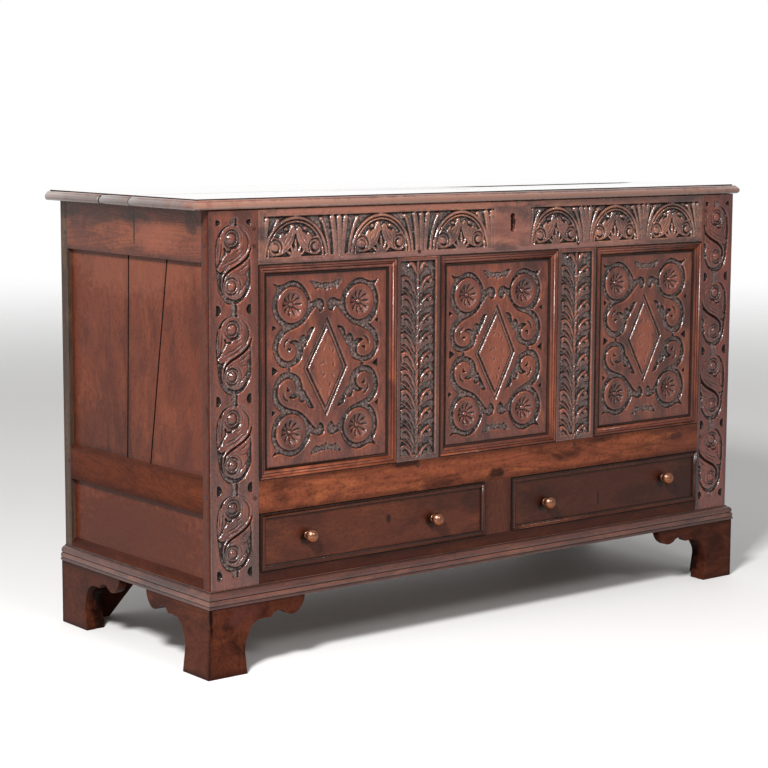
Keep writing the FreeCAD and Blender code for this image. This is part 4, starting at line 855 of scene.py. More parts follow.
# The middle of each panel, the corners of its lozenge, then how far its hand-set corners drifted: upper left,
# upper right, lower left and lower right, each for the rosette and the scroll.
PANELS = (
    ("left", -427.5, ((4, 98), (52, -2), (0, -97), (-54, 0)),
     ((1.5, 1.5), (3, 2)), ((2, -0.5), (3, -4)), ((-2, 1.5), (1, -2)), ((-1, 1), (2, 0))),
    ("middle", 7.5, ((2, 98), (52, -4), (-1, -104), (-58, -2)),
     ((2.5, -3), (2, -4)), ((-6, -1.5), (-5, -1)), ((1, -2), (3, 1)), ((-2, -2.5), (-4, 1))),
    ("right", 438.5, ((-4, 97), (50, 2), (-3, -100), (-58, -2)),
     ((-6.5, 0), (-1, 6)), ((-3, 1.5), (-6, 5)), ((-4, 4), (-2, 3)), ((-2, 6), (-3, 5))),
)
CHIPS = ((0, 54, 0.1), (-6, 38, 0.6), (9, 36, -0.4), (17, 30, 0.1), (-12, 6, 1.2), (-4, 9, -0.8), (18, 4, 0.1),
         (-5, -15, 0.35), (-10, -12, -0.5), (16, -18, -0.3), (-17, -45, 0.6), (5, -50, 0.1), (10, -34, 0.3))


def drift(points, anchors):
    """Slide a drawing's points, each most like the nearest of a few anchors that have slid."""
    total = np.zeros(len(points))
    moved = np.zeros_like(points)
    for place, step in anchors:
        weight = 1.0 / (((points - place) ** 2).sum(1) + 200.0) ** 2
        total += weight
        moved += weight[:, None] * step
    return points + moved / total[:, None]


def carve_arabesque(face, centre, drifts, depth):
    """The design of a front panel: rosettes, scrolls and leaves, in four quarters."""
    turns = ((1, 1), (-1, 1), (1, -1), (-1, -1))
    for turn, (rosette_step, scroll_step) in zip(turns, drifts):
        turn = np.array(turn, float)
        anchors = ((ROSETTE, np.array(rosette_step) * turn), (SCROLL_EYE, np.array(scroll_step) * turn),
                   ((-12, 118), np.zeros(2)), ((-88, 2), np.zeros(2)))

        def placed(points):
            return drift(np.array(points, float), anchors) * turn + centre

        middle = placed([ROSETTE])[0]
        face.sink(placed(flowing(ARABESQUE, True)), depth, circle(*middle, ROSETTE_RADIUS), 1.7)
        face.gouge(placed(flowing(SCROLL_CUT)), (1.4, 2.6, 2.6, 1.2), depth * 0.7)
        eye = np.array(SCROLL_EYE, float)
        face.gouge(placed([eye + (3.5, 2.5), eye + (-1.5, 1.5), eye + (-2, -3)]), (1.6, 3.4, 2.0), depth * 0.9)
        carve_rosette(face, *middle)
    for turn in (1, -1):
        face.sink(flowing(BAT, True) * (1.0, turn) + centre, depth * 0.6)
        for level, nick in ((82, SMALL_NICK), (0, LARGE_NICK), (-80, SMALL_NICK)):
            cut = np.array(nick, float) * (turn, 1.0) + centre + (0.0, level) + face.slip(1.5)
            face.sink(cut, depth)
            face.blacken(cut)


def carve_rosette(face, u, v):
    """A rounded ring round a deep dish of ten scooped petals with a small boss."""
    part = face.near(np.array([[u, v]]), ROSETTE_RADIUS + 1.0)
    du, dv = face.u[part] - u, face.v[part] - v
    gap = np.hypot(du, dv)
    turn = np.arctan2(dv, du) + face.draw.uniform(0.0, 0.3)
    ring = 1.5 * np.sin(math.pi * np.clip((gap - 23.0) / 12.5, 0.0, 1.0)) ** 0.7 - 1.3
    fall = np.clip(gap / ROSETTE_DISH, 0.0, 1.0)
    petal = np.abs(np.cos(5.0 * turn)) ** 0.5
    spread = ease((gap - 3.0) / 7.0) * ease((24.5 - gap) / 5.0)
    dish = -1.2 - 7.0 * (1.0 - fall ** 3.4) - spread * (2.4 - 3.8 * petal)
    shape = np.where(gap < ROSETTE_DISH, dish, ring)
    boss = -5.8 + 3.0 * np.sqrt(np.clip(1.0 - (gap / ROSETTE_BOSS) ** 2, 0.0, None))
    shape = np.where(gap < ROSETTE_BOSS, np.maximum(shape, boss), shape)
    inside = gap < ROSETTE_RADIUS
    face.height[part] = np.where(inside, np.minimum(shape, face.height[part] + 1.4), face.height[part])
    # Inside the dish the darkening is made stronger: painted shade in the deep bowl.
    face.clean[part] = np.minimum(face.clean[part], np.where(gap < 21.0, -0.15, 1.0))
    dusty = 0.5 * spread * (1.0 - petal) * (gap > 4.0)
    ground = face.ground[part]
    face.ground[part] = np.where(inside, np.where(gap < ROSETTE_DISH, dusty, ground * (gap > 33.5)), ground)


def carve_lozenge(face, corners):
    """A lozenge bordered by a square channel, with chipped leaves inside."""
    part = face.near(corners, 4.0)
    inward = -outside(face.u[part], face.v[part], corners)
    down = ease((inward - 0.2) / 1.6) * ease((11.0 - inward) / 1.8)
    quirk = 2.8 * np.exp(-((inward - 8.6) / 1.5) ** 2) + 2.6 * np.exp(-((inward - 2.0) / 1.4) ** 2)
    face.height[part] -= 2.2 * down + quirk
    face.ground[part] = np.maximum(face.ground[part], 0.3 * down + 0.4 * np.clip(quirk / 2.0, 0.0, 1.0))
    middle = corners.mean(0)
    for chip_u, chip_v, lean in CHIPS:
        reach = np.array((math.sin(lean), math.cos(lean))) * 5.5
        spot = middle + (chip_u, chip_v)
        face.gouge(np.array([spot - reach, spot, spot + reach]), (0.8, 3.0, 0.6), 1.9, 0.9)


# --- Corner posts -----------------------------------------------------------------------------

SCROLL_GROUND = (
    (8.5, 74, 1), (18.5, 71), (28.5, 65), (36.5, 54), (40.5, 42), (40.5, 30), (38.5, 18), (40.5, -6), (40.5, -32),
    (38.5, -42), (32.5, -54), (22.5, -66), (10.5, -72.4, 1), (-5.5, -74, 1), (-15.5, -70), (-24.5, -60), (-30.5, -48),
    (-33.5, -32), (-35.5, -16), (-37, -4), (-38.5, 16), (-37, 40), (-32, 54), (-21.5, 67), (-6.5, 73, 1),
)
UPPER_BODY = (
    (-35.5, -7, 1), (-25.5, 4, 1), (-22, 11.5, 1), (-16, 19, 1), (-15, 28), (-22, 35), (-27, 46), (-25, 57), (-17, 67),
    (-6, 72), (6, 72.5), (17, 68.5), (27, 61), (34, 50), (36.5, 39), (35, 28), (29, 17), (19, 8), (6, 0.5), (-9, -6.5),
    (-20, -12), (-28, -14),
)
LEFT_LEAF = ((-32.5, 50), (-27, 50), (-22, 36), (-16, 29), (-17.5, 19, 1), (-23, 12, 1), (-28, 4, 1), (-34, -2, 1),
             (-34, 22))
LOWER_BODY = (
    (-5, -11, 1), (-15, -18.5), (-20.5, -30), (-20, -44), (-13.5, -56), (-3, -64), (8, -66), (19, -62), (27, -53),
    (31.5, -43, 1), (28, -39, 1), (34, -28, 1), (31, -20), (33, -12, 1), (38, -8, 1), (38, 5), (38, 13, 1), (30, 7),
    (20, 1), (8, -5),
)
SCROLL_RIDGE = (
    (12, 71), (24, 65), (33.5, 55), (38, 44), (37.5, 32), (32.5, 20), (20.5, 8), (6.5, 0), (-9.5, -8), (-20.5, -18),
    (-24, -30), (-22.5, -44), (-15.5, -56), (-5.5, -63),
)
SCROLL_CUTS = (
    (((6, 20.5), (11, 25), (17, 27.5)), 1.8), (((-11, -23.5), (-5, -19), (1, -17.5)), 1.8),
    (((-23.5, 42), (-23.5, 25), (-28, 4)), 2.5), (((-29.5, 46), (-30.5, 24), (-32.5, 4)), 2.3),
    (((-26, -3), (-12, 5), (4, 11), (22, 22)), 1.6), (((-22, -7), (-6, 0), (12, 8), (27, 22)), 1.3),
    (((36, 2), (26, -6), (14, -12)), 1.7), (((35, -10), (28, -20), (16, -20)), 1.5),
    (((30, -30), (24, -42), (12, -54)), 1.4),
)
DUSTY_HOLLOW = ((-20, -14), (-28, -24), (-30, -44), (-22, -60), (-6, -68), (10, -66), (26, -54), (10, -52), (-6, -42),
                (-8, -26))
# The eyes of both scrolls: the middle, the radius of the cut ring, and the angles from which to which it runs.
POST_EYES = (((-1.5, 47.0), 16.5, -170, 150), ((-1.5, -40.0), 15.0, 35, 330))
SCALLOP = ((-18, 30), (-13.5, 24.4), (-5.5, 24), (0.5, 31), (8.5, 31), (15.5, 38))


def carve_scrolls(face, centre_u, side, units, depth):
    """A chain of interlocked scrolls up a corner post."""
    for centre_v, half in units:
        stretch = np.array([side, half / 74.0])
        move = np.array([centre_u, centre_v]) + face.slip(0.6)

        def placed(points, closed=False):
            return flowing(points, closed) * stretch + move

        face.sink(placed(SCROLL_GROUND, True), depth, wall=1.6)
        for outline, level in ((LEFT_LEAF, -2.2), (LOWER_BODY, -0.9), (UPPER_BODY, -0.5)):
            face.plate(placed(outline, True), level)
        face.gouge(placed([(u - 3.6, v - 0.6) for u, v in SCROLL_RIDGE[1:8]]), (0.8, 1.8, 1.8, 1.4), 2.2, 0.1)
        face.bead(placed(SCROLL_RIDGE), (1.8, 2.7, 2.7, 2.7, 2.2), (-0.2, 1.0, 1.0, 1.0, 0.2))
        face.gouge(placed([(u + 3.0, v - 3.6) for u, v in SCROLL_RIDGE[4:]]), (2.0, 2.9, 2.7, 2.0), depth * 0.85, 0.5)
        face.dull(placed(DUSTY_HOLLOW), 0.5, 0.2)
        for eye, ring, low, high in POST_EYES:
            spot = np.array(eye) * stretch + move

            def turned(radius, low, high):
                return arc(0.0, 0.0, radius, low, high) * (side, 1.0) + spot

            face.dull(circle(spot[0], spot[1], ring + 3.0), 0.42, 0.2)
            face.gouge(turned(ring, low, high), (1.0, 3.0, 3.4, 2.4, 0.8), depth * 0.8, 0.5)
            face.knob(spot[0], spot[1], ring - 4.0, 1.6, 0.66, True)
            face.gouge(turned(ring - 6.8, low + 70, high - 110), (0.6, 1.6, 0.6), 1.4, 0.4)
            face.gouge(turned(ring + 5.5, -70, 80), (0.5, 1.8, 0.5), 2.0, 0.3)
        face.gouge(arc(*POST_EYES[0][0], 22.0, 70, 215) * stretch + move, (0.5, 1.2, 0.5), 1.1, 0.1)
        face.gouge(placed(SCALLOP), (1.4, 2.6, 2.4, 2.0), depth * 0.8, 0.5)
        for cut, width in SCROLL_CUTS:
            face.gouge(placed(cut), (0.4, width, 0.5), 2.8, 0.3)
    joins = [(a - ha + b + hb) / 2 for (a, ha), (b, hb) in zip(units[:-1], units[1:])]
    ties = [(v, 14.0, 9.5) for v in joins] + [(units[0][0] + units[0][1] + 3.5, 7.0, 5.0)]
    for v, tall, nick_tall in ties + [(units[-1][0] - units[-1][1] - 4.0, 7.0, 8.0)]:
        tie = np.array([(-5.5, -tall), (9.5, -tall), (8.0, -1.0), (10.0, 2.0), (9.5, tall), (-5.5, tall)])
        face.sink(tie * (side, 1.0) + (centre_u, v), depth * 0.45)
        face.gouge(np.array([(8.0 * side, -tall), (7.5 * side, tall)]) + (centre_u, v), (2.0, 2.0), 2.6, 0.9)
        for edge in (1, -1):
            nick = flowing(((-38, -nick_tall, 1), (-32, -nick_tall * 0.8), (-28.5, 0), (-32, nick_tall * 0.8),
                            (-38, nick_tall, 1)), True)
            cut = nick * (edge, 1.0) + (centre_u + (1.5 if edge < 0 else 0.0) * side, v) + face.slip(0.8)
            face.sink(cut, depth)
            face.blacken(cut)


# --- Muntins ----------------------------------------------------------------------------------

WEBS = (((3, -37, 1), (5, -24), (10, -13), (18, -5), (28, -1), (37, -6), (41, -16), (38, -23, 1), (30, -23), (20, -26),
         (10, -33)),
        ((-3, -37, 1), (-9, -27), (-17, -13), (-26, -4), (-36, 0), (-43, -4), (-43, -14), (-40, -22, 1), (-32, -19),
         (-22, -22), (-12, -31)))
FOLDS = (
    (((11, -33), (16, -26), (25, -21), (36, -20)), 1.4, -2.2),
    (((-10, -42), (-18, -30), (-27, -21), (-39, -15)), 1.8, -1.7),
    (((-16, -43), (-25, -34), (-34, -27), (-42, -23)), 1.6, -2.0),
)
RIGHT_RIDGE = ((5.7, -31), (7, -22), (12, -11.5), (19, -4.5), (28, -0.5))
LEFT_RIDGE = ((-5, -38), (-10, -28), (-18, -14), (-26, -5), (-34, -0.5), (-41, -1.5))


def carve_leaves(face, stem_u, field, tiers, depth):
    """Tiers of curled leaves up a stem, close together."""
    low_u, high_u, low_v, high_v = field
    face.sink(oblong(*field), depth)
    inner = np.s_[np.searchsorted(face.vs, low_v):np.searchsorted(face.vs, high_v),
                  np.searchsorted(face.us, low_u):np.searchsorted(face.us, high_u)]
    stem = flowing(((0, low_v - tiers[0]), (-1, -200), (1, -90), (0, 27)))
    face.bead(stem + (stem_u, tiers[0]), (4.5, 4.5, 4.0, 3.0), (-2.4, -2.4, -2.2, -2.0))
    for top in tiers:
        place = np.array([stem_u, top]) + face.slip(1.2)
        for web, level in zip(WEBS, (-2.4, -2.2)):
            face.plate(flowing(web, True) + place, level, 2.6)
            face.dull(flowing(web, True) + place, 0.5)
        for fold, width, level in FOLDS:
            face.bead(flowing(fold) + place, (1.2, width, width, 1.6), (-2.8, level, level, level - 0.6))
        face.bead(flowing(LEFT_RIDGE) + place, (1.8, 3.2, 4.0, 4.2, 3.2), (-2.6, -1.4, -0.4, 0.2, 0.4))
        face.knob(*(np.array((-38.5, -4.0)) + place), 5.4, 1.1)
        face.gouge(flowing(((-37, -8.5), (-29, -8), (-21.5, -15), (-14, -26))) + place, (1.4, 2.2, 2.0, 1.0), 2.6, 0.5)
        face.bead(flowing(RIGHT_RIDGE) + place, (2.2, 3.6, 4.0, 3.6, 2.4), (-1.0, 0.9, 1.5, 1.4, 0.6))
        face.gouge(flowing(((10.5, -24), (15, -14), (22, -9.5), (27, -14))) + place, (1.2, 2.8, 3.0, 1.6), 3.4, 0.9)
        face.knob(*(np.array((31.5, -9.0)) + place), 4.4, 0.6)
        for u, v in ((-2.5, -6), (2.5, -13), (-2.5, -21), (2.5, -28), (-2.5, -35)):
            nick = np.array([(u - 3.0, v - 3.5), (u + 3.0, v + 3.5)]) + place
            face.gouge(nick, (1.0, 2.0), 2.0, 0.9)
    for side, reach in ((-1, 26.0), (1, 22.0)):
        leaf = flowing(((side * 4, -2), (side * 10, 10), (side * reach * 0.7, 17), (side * reach, 12)))
        face.bead(leaf + (stem_u, tiers[0] + 8.0), (2.5, 4.5, 4.5, 2.5), (-1.6, -0.4, -0.3, -1.2))
    for side in (-1, 1):
        face.gouge(stem + (stem_u + side * 5.5, tiers[0]), (1.2, 1.4, 1.4, 1.2), 1.6, 0.4)
    face.height[inner] = np.maximum(face.height[inner], -depth - 0.6)


# --- Top rail ---------------------------------------------------------------------------------

LUNETTE_LEAF = (
    (0.5, 49, 1), (1.5, 38), (5, 26), (12, 14), (24, 4.5), (38, -0.5), (52, -0.5), (61, 6), (64, 16), (61, 27),
    (53, 34), (45, 35), (39, 32, 1), (36, 38), (30, 44), (26, 39, 1), (22, 42), (17, 44, 1), (14, 51), (7, 54.5),
)
LUNETTE_VEINS = (((3.5, 44), (7, 31), (15, 18), (26, 9), (36, 5)), ((9, 45), (13, 33), (20, 23), (28, 17)),
                 ((20, 37), (24, 30), (28, 24)))
FAN = (((0, -1), (0, 15), (0, 29)), ((4, -1), (8, 9), (12.5, 20)), ((8, -1), (15, 4), (22, 9)))


def carve_lunettes(face, field, middles, block, gaps, depth):
    """A band of round arches, each with two fern scrolls, and fluted leaves between them."""
    low_u, high_u, low, high = field
    face.sink(oblong(*field), depth, oblong(*block, low - 9, high + 9))
    kept = ((face.u > low_u) & (face.u < high_u) & (face.v > low) & (face.v < high)
            & ((face.u < block[0] - 0.5) | (face.u > block[1] + 0.5)))
    saved = face.height.copy(), face.ground.copy()
    tall = high - low
    for gap, foot in gaps:
        heights = np.array([0.0, 0.3, 0.55, 0.76, 0.91])
        reach = foot / 2.0 + 70.0 * (1.0 - np.sqrt(1.0 - heights ** 2))
        for flute in (-2, 2, -1, 1, 0):
            lean = (0.0, 0.33, 0.83)[abs(flute)] * np.array([1.0, 1.0, 0.95, 0.84, 0.74]) * np.sign(flute)
            path = flowing(np.stack([lean * reach, heights * tall], 1)) + (gap, low) + face.slip(0.7)
            width = np.minimum(0.17 * reach, 5.6) + 1.0 if abs(flute) < 2 else np.full(5, 3.6)
            face.bead(path, width, (-0.6, 0.2, 0.4, 0.8, 0.4))
            face.gouge(path[3:-4], (1.0, 1.8, 1.6), 1.0, 0.3)
            if flute:
                face.knob(path[-1, 0], path[-1, 1] - 1.0, 4.6, 1.0)
            if abs(flute) < 2:
                face.dull(np.vstack([path - (5.0, 0.0), path[::-1] + (5.0, 0.0)]), 0.35, 0.3)
    for middle, arch_u in middles:
        arch_v = tall - 1.0
        turn = np.linspace(0.0, math.pi, 60)
        unit = np.stack([np.cos(turn), np.sin(turn)], 1)
        within = outside(face.u, face.v, unit * (arch_u, arch_v) + (middle, low)) < 0
        face.height = np.where(within, -depth, face.height)
        face.ground = np.where(within, 1.0, face.ground)
        face.bead(unit * (arch_u - 3.2, arch_v - 3.2) + (middle, low), (3.3, 3.3), (0.4, 0.4))
        face.bead(unit * (arch_u - 10.6, arch_v - 9.8) + (middle, low), (2.2, 2.2), (-0.2, -0.2))
        face.gouge(unit * (arch_u - 7.3, arch_v - 6.9) + (middle, low), (1.3, 1.3), 2.0, 0.9)
        for at in np.linspace(0.35, math.pi - 0.35, 17):
            spot = np.array((math.cos(at), math.sin(at))) * (arch_u - 10.6, arch_v - 9.8) + (middle, low)
            face.gouge(np.array([spot - (0.1, 0), spot]), (1.5, 1.5), 1.3, 0.3)
        for side in (1, -1):
            scale = np.array([side * (arch_u - 11.0) / 63.0, 1.0])
            place = np.array([middle, low + 1.5]) + face.slip(0.6)

            def placed(points):
                return np.array(points, float) * scale + place

            face.plate(placed(flowing(LUNETTE_LEAF, True)), -0.7, 2.2)
            for vein in LUNETTE_VEINS:
                face.gouge(placed(flowing(vein)), (0.7, 1.5, 1.4, 0.6), 1.6, 0.1)
            eye = placed([(46.0, 14.5)])[0]
            face.gouge(arc(0, 0, 14.6, -60, 215, 24) * (side, 1.0) + eye, (1.4, 2.8, 3.0, 2.8, 1.4), depth * 0.9, 0.2)
            face.knob(eye[0], eye[1], 11.6, 1.0, 0.52, True)
            face.gouge(arc(0, 0, 8.2, 60, 330) * (side, 1.0) + eye, (0.8, 2.2, 2.2, 0.8), depth * 0.7, 0.8)
            face.gouge(arc(0, 0, 3.4, -60, 200) * (side, 1.0) + eye, (0.6, 1.3, 0.6), 1.6, 0.3)
            face.gouge(placed([(24.0, 47.5), (29.5, 44.5)]), (2.4, 2.2), depth * 0.8, 0.2)
            face.knob(*placed([(21.5, 49.0)])[0], 3.6, 0.9)
            for stalk in FAN:
                face.bead(placed(flowing(stalk)), (3.4, 3.2, 1.4), (-0.2, 0.9, -0.6))
        face.knob(middle - 7.0, low + 55.0, 5.4, 1.0)
        face.bead(np.array([(middle - 7.0, low + 53.0), (middle - 1.0, low + 44.0)]), (4.0, 3.0), (0.4, -0.2))
    face.height = np.where(kept, face.height, saved[0])
    face.ground = np.where(kept, face.ground, saved[1])


# --- Settings ---------------------------------------------------------------------------------

def colour_property(name, description, default):
    return bpy.props.FloatVectorProperty(name=name, description=description, default=default, subtype="COLOR",
                                         size=3, min=0.0, max=1.0)


class ChestColours(bpy.types.PropertyGroup):
    deep: colour_property("Deep oak", "Darkest tone of the polished oak", (0.050, 0.0120, 0.0062))
    body: colour_property("Oak", "Main tone of the polished oak", (0.150, 0.0380, 0.0185))
    glow: colour_property("Rubbed oak", "Tone where the wax is rubbed thin", (0.270, 0.0760, 0.0300))
    dry: colour_property("Dry oak", "Main tone of the unpolished oak inside", (0.26, 0.16, 0.09))
    brass: colour_property("Knobs", "Tone of the knobs' metal", (0.30, 0.135, 0.08))
    iron: colour_property("Iron", "Tone of the hinges and the lock", (0.075, 0.06, 0.05))
    floor: colour_property("Floor", "Tone of the floor", (0.86, 0.85, 0.84))


def length_property(name, description, default, least, most):
    """A length that is given in millimetres and shown in the scene's units."""
    return bpy.props.FloatProperty(name=name, description=description, default=default * MM, min=least * MM,
                                   max=most * MM, unit="LENGTH")


class ChestSizes(bpy.types.PropertyGroup):
    panel_step: length_property("Panel grid", "Grid step of the carved panels", 1.15, 0.8, 5)
    rail_step: length_property("Rail grid", "Grid step of the carved top rail", 1.2, 1, 5)
    depth: length_property("Carving depth", "How deep the ground is sunk", 5.1, 1, 5.6)
    arris: length_property("Arris", "How much the boards' arrises are rubbed", 1.1, 0.2, 2)


def tones(name, deep=1.0, body=1.0, glow=1.0, tint=(1.0, 1.0, 1.0), **rest):
    """A polished oak in the chest's colours, each made lighter or darker and tinted."""
    colours = bpy.context.scene.chest_colours
    shades = [[c * t * share for c, t in zip(tone, tint)]
              for tone, share in ((colours.deep, deep), (colours.body, body), (colours.glow, glow))]
    return oak(name, *shades, **rest)


def dry_oak(name, share=1.0):
    """Unpolished oak."""
    dry = [c * share for c in bpy.context.scene.chest_colours.dry]
    return oak(name, [c * 0.55 for c in dry], dry, [c * 1.2 for c in dry], rough=0.62, glow_share=0.4, relief=0.5,
               dirt=0.3)


# --- Operators --------------------------------------------------------------------------------

# Each front corner post: its edges, the middle of its chain, which way the scrolls turn, the middle and half
# height of each scroll, seed, tone, tint and a dark blot.
POSTS = (
    ("front_stile_left", (-700.0, -590.0), -646.5, 1, ((768.0, 74.0), (601.0, 74.0), (433.5, 74.0), (266.5, 73.5)),
     11, 0.95, (1.05, 0.95, 1.0), (-680, 190, 7, 14, 0.9)),
    ("front_stile_right", (602.0, 700.0), 650.0, -1, ((769.0, 74.0), (603.0, 73.0), (437.0, 75.0), (271.0, 74.0)),
     12, 0.8, (1.25, 0.95, 1.05), (606, 240, 10, 90, 0.9)),
)
# The top rail: the edges of its carved field, the middle and half width of each arch, the middle and foot of
# each fan, and the plain block round the keyhole.
LUNETTE_FIELD = (-577.0, 591.0, 778.0, 853.5)
ARCHES = ((-503.0, 74.0), (-299.5, 73.5), (-96.0, 73.5), (163.5, 71.0), (334.5, 72.0), (507.5, 74.0))
FANS = ((-584.0, 46.0), (-401.0, 55.0), (-198.0, 55.0), (-14.0, 46.0), (84.0, 28.0), (249.0, 30.0), (420.5, 28.0),
        (589.0, 28.0))
KEY_BLOCK = (-9.0, 92.0)
# The keyhole: its middle, the height and radius of its round top and foot, and the ends of the slot between.
KEYHOLE = (42.0, 824.0)
KEYHOLE_TOP = (836.5, 6.5)
KEYHOLE_FOOT = (811.0, 6.0)
KEYHOLE_SLOT = (815.5, 831.4)
# Edges of the openings between the posts, the muntins and the rails.
OPENINGS = {"left": (-590.0, -260.0), "middle": (-151.0, 170.0), "right": (279.0, 602.0)}
POST_ENDS = (130.0, 868.0)
OPENING_ENDS = (359.0, 765.0)
PANEL_MIDDLE = 562.5
MUNTIN_WIDTH = 109.0
LEAF_TIERS = [726.5 - 37.5 * k for k in range(10)]
# How thick the carved slabs are; the plain rest of each board starts behind them.
FRAME_SLAB = 6.4
MUNTIN_SLAB = 6.8
PANEL_SLAB = 9.2
# Which way the grain of a carved board runs.
ALONG = 0
UPRIGHT = 2
# Turned and moulded pieces are shaded smooth up to this bend, in degrees.
ROUND_LIMIT = 40.0


def front_blots(*rows, face=FRONT):
    """Blots on a face that looks forwards: middle u and v, half sizes, share and, unless dark, a tone."""
    return tuple(((u, face, v), (wide, 20, tall), *rest) for u, v, wide, tall, *rest in rows)


class CHEST_OT_posts(bpy.types.Operator):
    """Carve the two front corner posts with chains of scrolls"""
    bl_idname = "chest.posts"
    bl_label = "Front Corner Posts"

    def execute(self, context):
        sizes = context.scene.chest_sizes
        step = sizes.panel_step / MM
        side_face = ((-700, -238, 500), (7, 26, 900), 0.8, (0.098, 0.044, 0.034))
        for node, edges, middle, side, units, seed, share, tint, blot in POSTS:
            face = Carving(lines(*edges, step), lines(*POST_ENDS, step), seed)
            carve_scrolls(face, middle, side, units, sizes.depth / MM)
            face.punch(0.5)
            face.wander(0.18)
            face.round_edges(1.6)
            material = tones("waxed_" + node, body=share, glow=share * 0.9, glow_share=0.5, gloss=0.8, rough=0.25,
                             relief=0.6, tint=tint, side_gloss=0.05, blots=front_blots(blot) + (side_face,))
            carved_piece(node, face, FRONT, FRAME_SLAB, UPRIGHT, material, seed)
        return {"FINISHED"}


def keyhole_outline():
    """An upright slot with a round end above and a smaller one below."""
    top = circle(KEYHOLE[0], *KEYHOLE_TOP, 36)
    foot = circle(KEYHOLE[0], *KEYHOLE_FOOT, 36)
    hole = np.vstack([top[top[:, 1] > KEYHOLE_SLOT[1]], foot[foot[:, 1] < KEYHOLE_SLOT[0]]])
    return hole[np.argsort(np.arctan2(hole[:, 1] - KEYHOLE[1], hole[:, 0] - KEYHOLE[0]))]


class CHEST_OT_top_rail(bpy.types.Operator):
    """Carve the top rail with its band of lunettes and cut the keyhole"""
    bl_idname = "chest.top_rail"
    bl_label = "Top Rail"

    def execute(self, context):
        sizes = context.scene.chest_sizes
        step = sizes.rail_step / MM
        between_posts = lines(OPENINGS["left"][0], OPENINGS["right"][1], step)
        face = Carving(between_posts, lines(OPENING_ENDS[1], POST_ENDS[1], step), 21)
        carve_lunettes(face, LUNETTE_FIELD, ARCHES, KEY_BLOCK, FANS, sizes.depth / MM + 0.4)
        face.punch(0.45)
        face.wander(0.15)
        hole = keyhole_outline()
        gap = outside(face.u, face.v, hole)
        face.height -= 1.2 * np.exp(-np.clip(gap, 0.0, None) / 1.4)
        face.round_edges(1.2)
        blots = front_blots(
            (20, 815, 80, 44, 0.3, (0.36, 0.11, 0.075)), (0, 771, 620, 6, 0.4, (0.34, 0.15, 0.125)),
            (*KEYHOLE, 8, 20, 0.95), (20, 772, 40, 6, 0.6), (470, 771, 60, 5, 0.5),
            (-250, 863, 420, 9, 0.6, (0.34, 0.115, 0.07)))
        # The greyer tint is partly a painted sheen on the carving.
        material = tones("waxed_top_rail", body=1.5, glow=1.3, tint=(0.92, 1.3, 1.8), glow_share=0.8, blots=blots,
                         gloss=0.9, rough=0.25, relief=0.6)
        carved_piece("front_top_rail", face, FRONT, FRAME_SLAB, ALONG, material, 21, hole)
        return {"FINISHED"}


class CHEST_OT_muntins(bpy.types.Operator):
    """Carve the two front muntins with tiers of curled leaves"""
    bl_idname = "chest.muntins"
    bl_label = "Carved Muntins"

    def execute(self, context):
        sizes = context.scene.chest_sizes
        step = sizes.panel_step / MM
        # The bright rubbed tone on the leaves' ridges is wear and a painted highlight.
        material = tones("waxed_muntins", body=0.75, glow=1.5, tint=(1.0, 0.95, 1.0), glow_share=0.12, gloss=0.95,
                         rough=0.2, relief=0.6, dust=(0.095, 0.068, 0.060))
        for side, low_u, seed in (("left", OPENINGS["left"][1], 31), ("right", OPENINGS["middle"][1], 32)):
            face = Carving(lines(low_u, low_u + MUNTIN_WIDTH, step), lines(*OPENING_ENDS, step), seed)
            field = (low_u + 9.5, low_u + 98.0, 371.0, 757.0)
            carve_leaves(face, low_u + 55.0, field, LEAF_TIERS, sizes.depth / MM + 0.5)
            face.punch(0.5, 6.2)
            face.wander(0.12)
            face.round_edges(1.0)
            carved_piece("front_muntin_" + side, face, FRONT, MUNTIN_SLAB, UPRIGHT, material, seed)
        return {"FINISHED"}


def framed_lines(low, high, step):
    """Grid lines of a panel: a few where it is hidden in its groove and under the moulding, then fine ones."""
    return np.concatenate([[low - 7.0, low, low + 9.0], lines(low + 18.0, high - 18.0, step),
                           [high - 9.0, high, high + 7.0]])


class CHEST_OT_panels(bpy.types.Operator):
    """Carve the three front panels"""
    bl_idname = "chest.panels"
    bl_label = "Carved Panels"

    def execute(self, context):
        sizes = context.scene.chest_sizes
        step = sizes.panel_step / MM
        for seed, (side, middle, lozenge, *drifts) in enumerate(PANELS, 41):
            node = "front_panel_" + side
            face = Carving(framed_lines(*OPENINGS[side], step), framed_lines(*OPENING_ENDS, step), seed)
            centre = np.array([middle, PANEL_MIDDLE])
            carve_arabesque(face, centre, drifts, sizes.depth / MM)
            carve_lozenge(face, np.array(lozenge, float) + centre)
            face.punch(0.55, 8.8)
            face.wander(0.2)
            light = front_blots((middle, 555, 36, 76, 0.55, (0.30, 0.078, 0.036)), face=PANEL_FACE)
            material = tones("waxed_" + node, body=0.95, glow=0.9, tint=(1.08, 1.0, 1.08), glow_share=0.6,
                             hidden=0.024, dirt=0.4, gloss=0.7, rough=0.27, relief=0.6, blots=light)
            carved_piece(node, face, PANEL_FACE, PANEL_SLAB, UPRIGHT, material, seed)
        return {"FINISHED"}


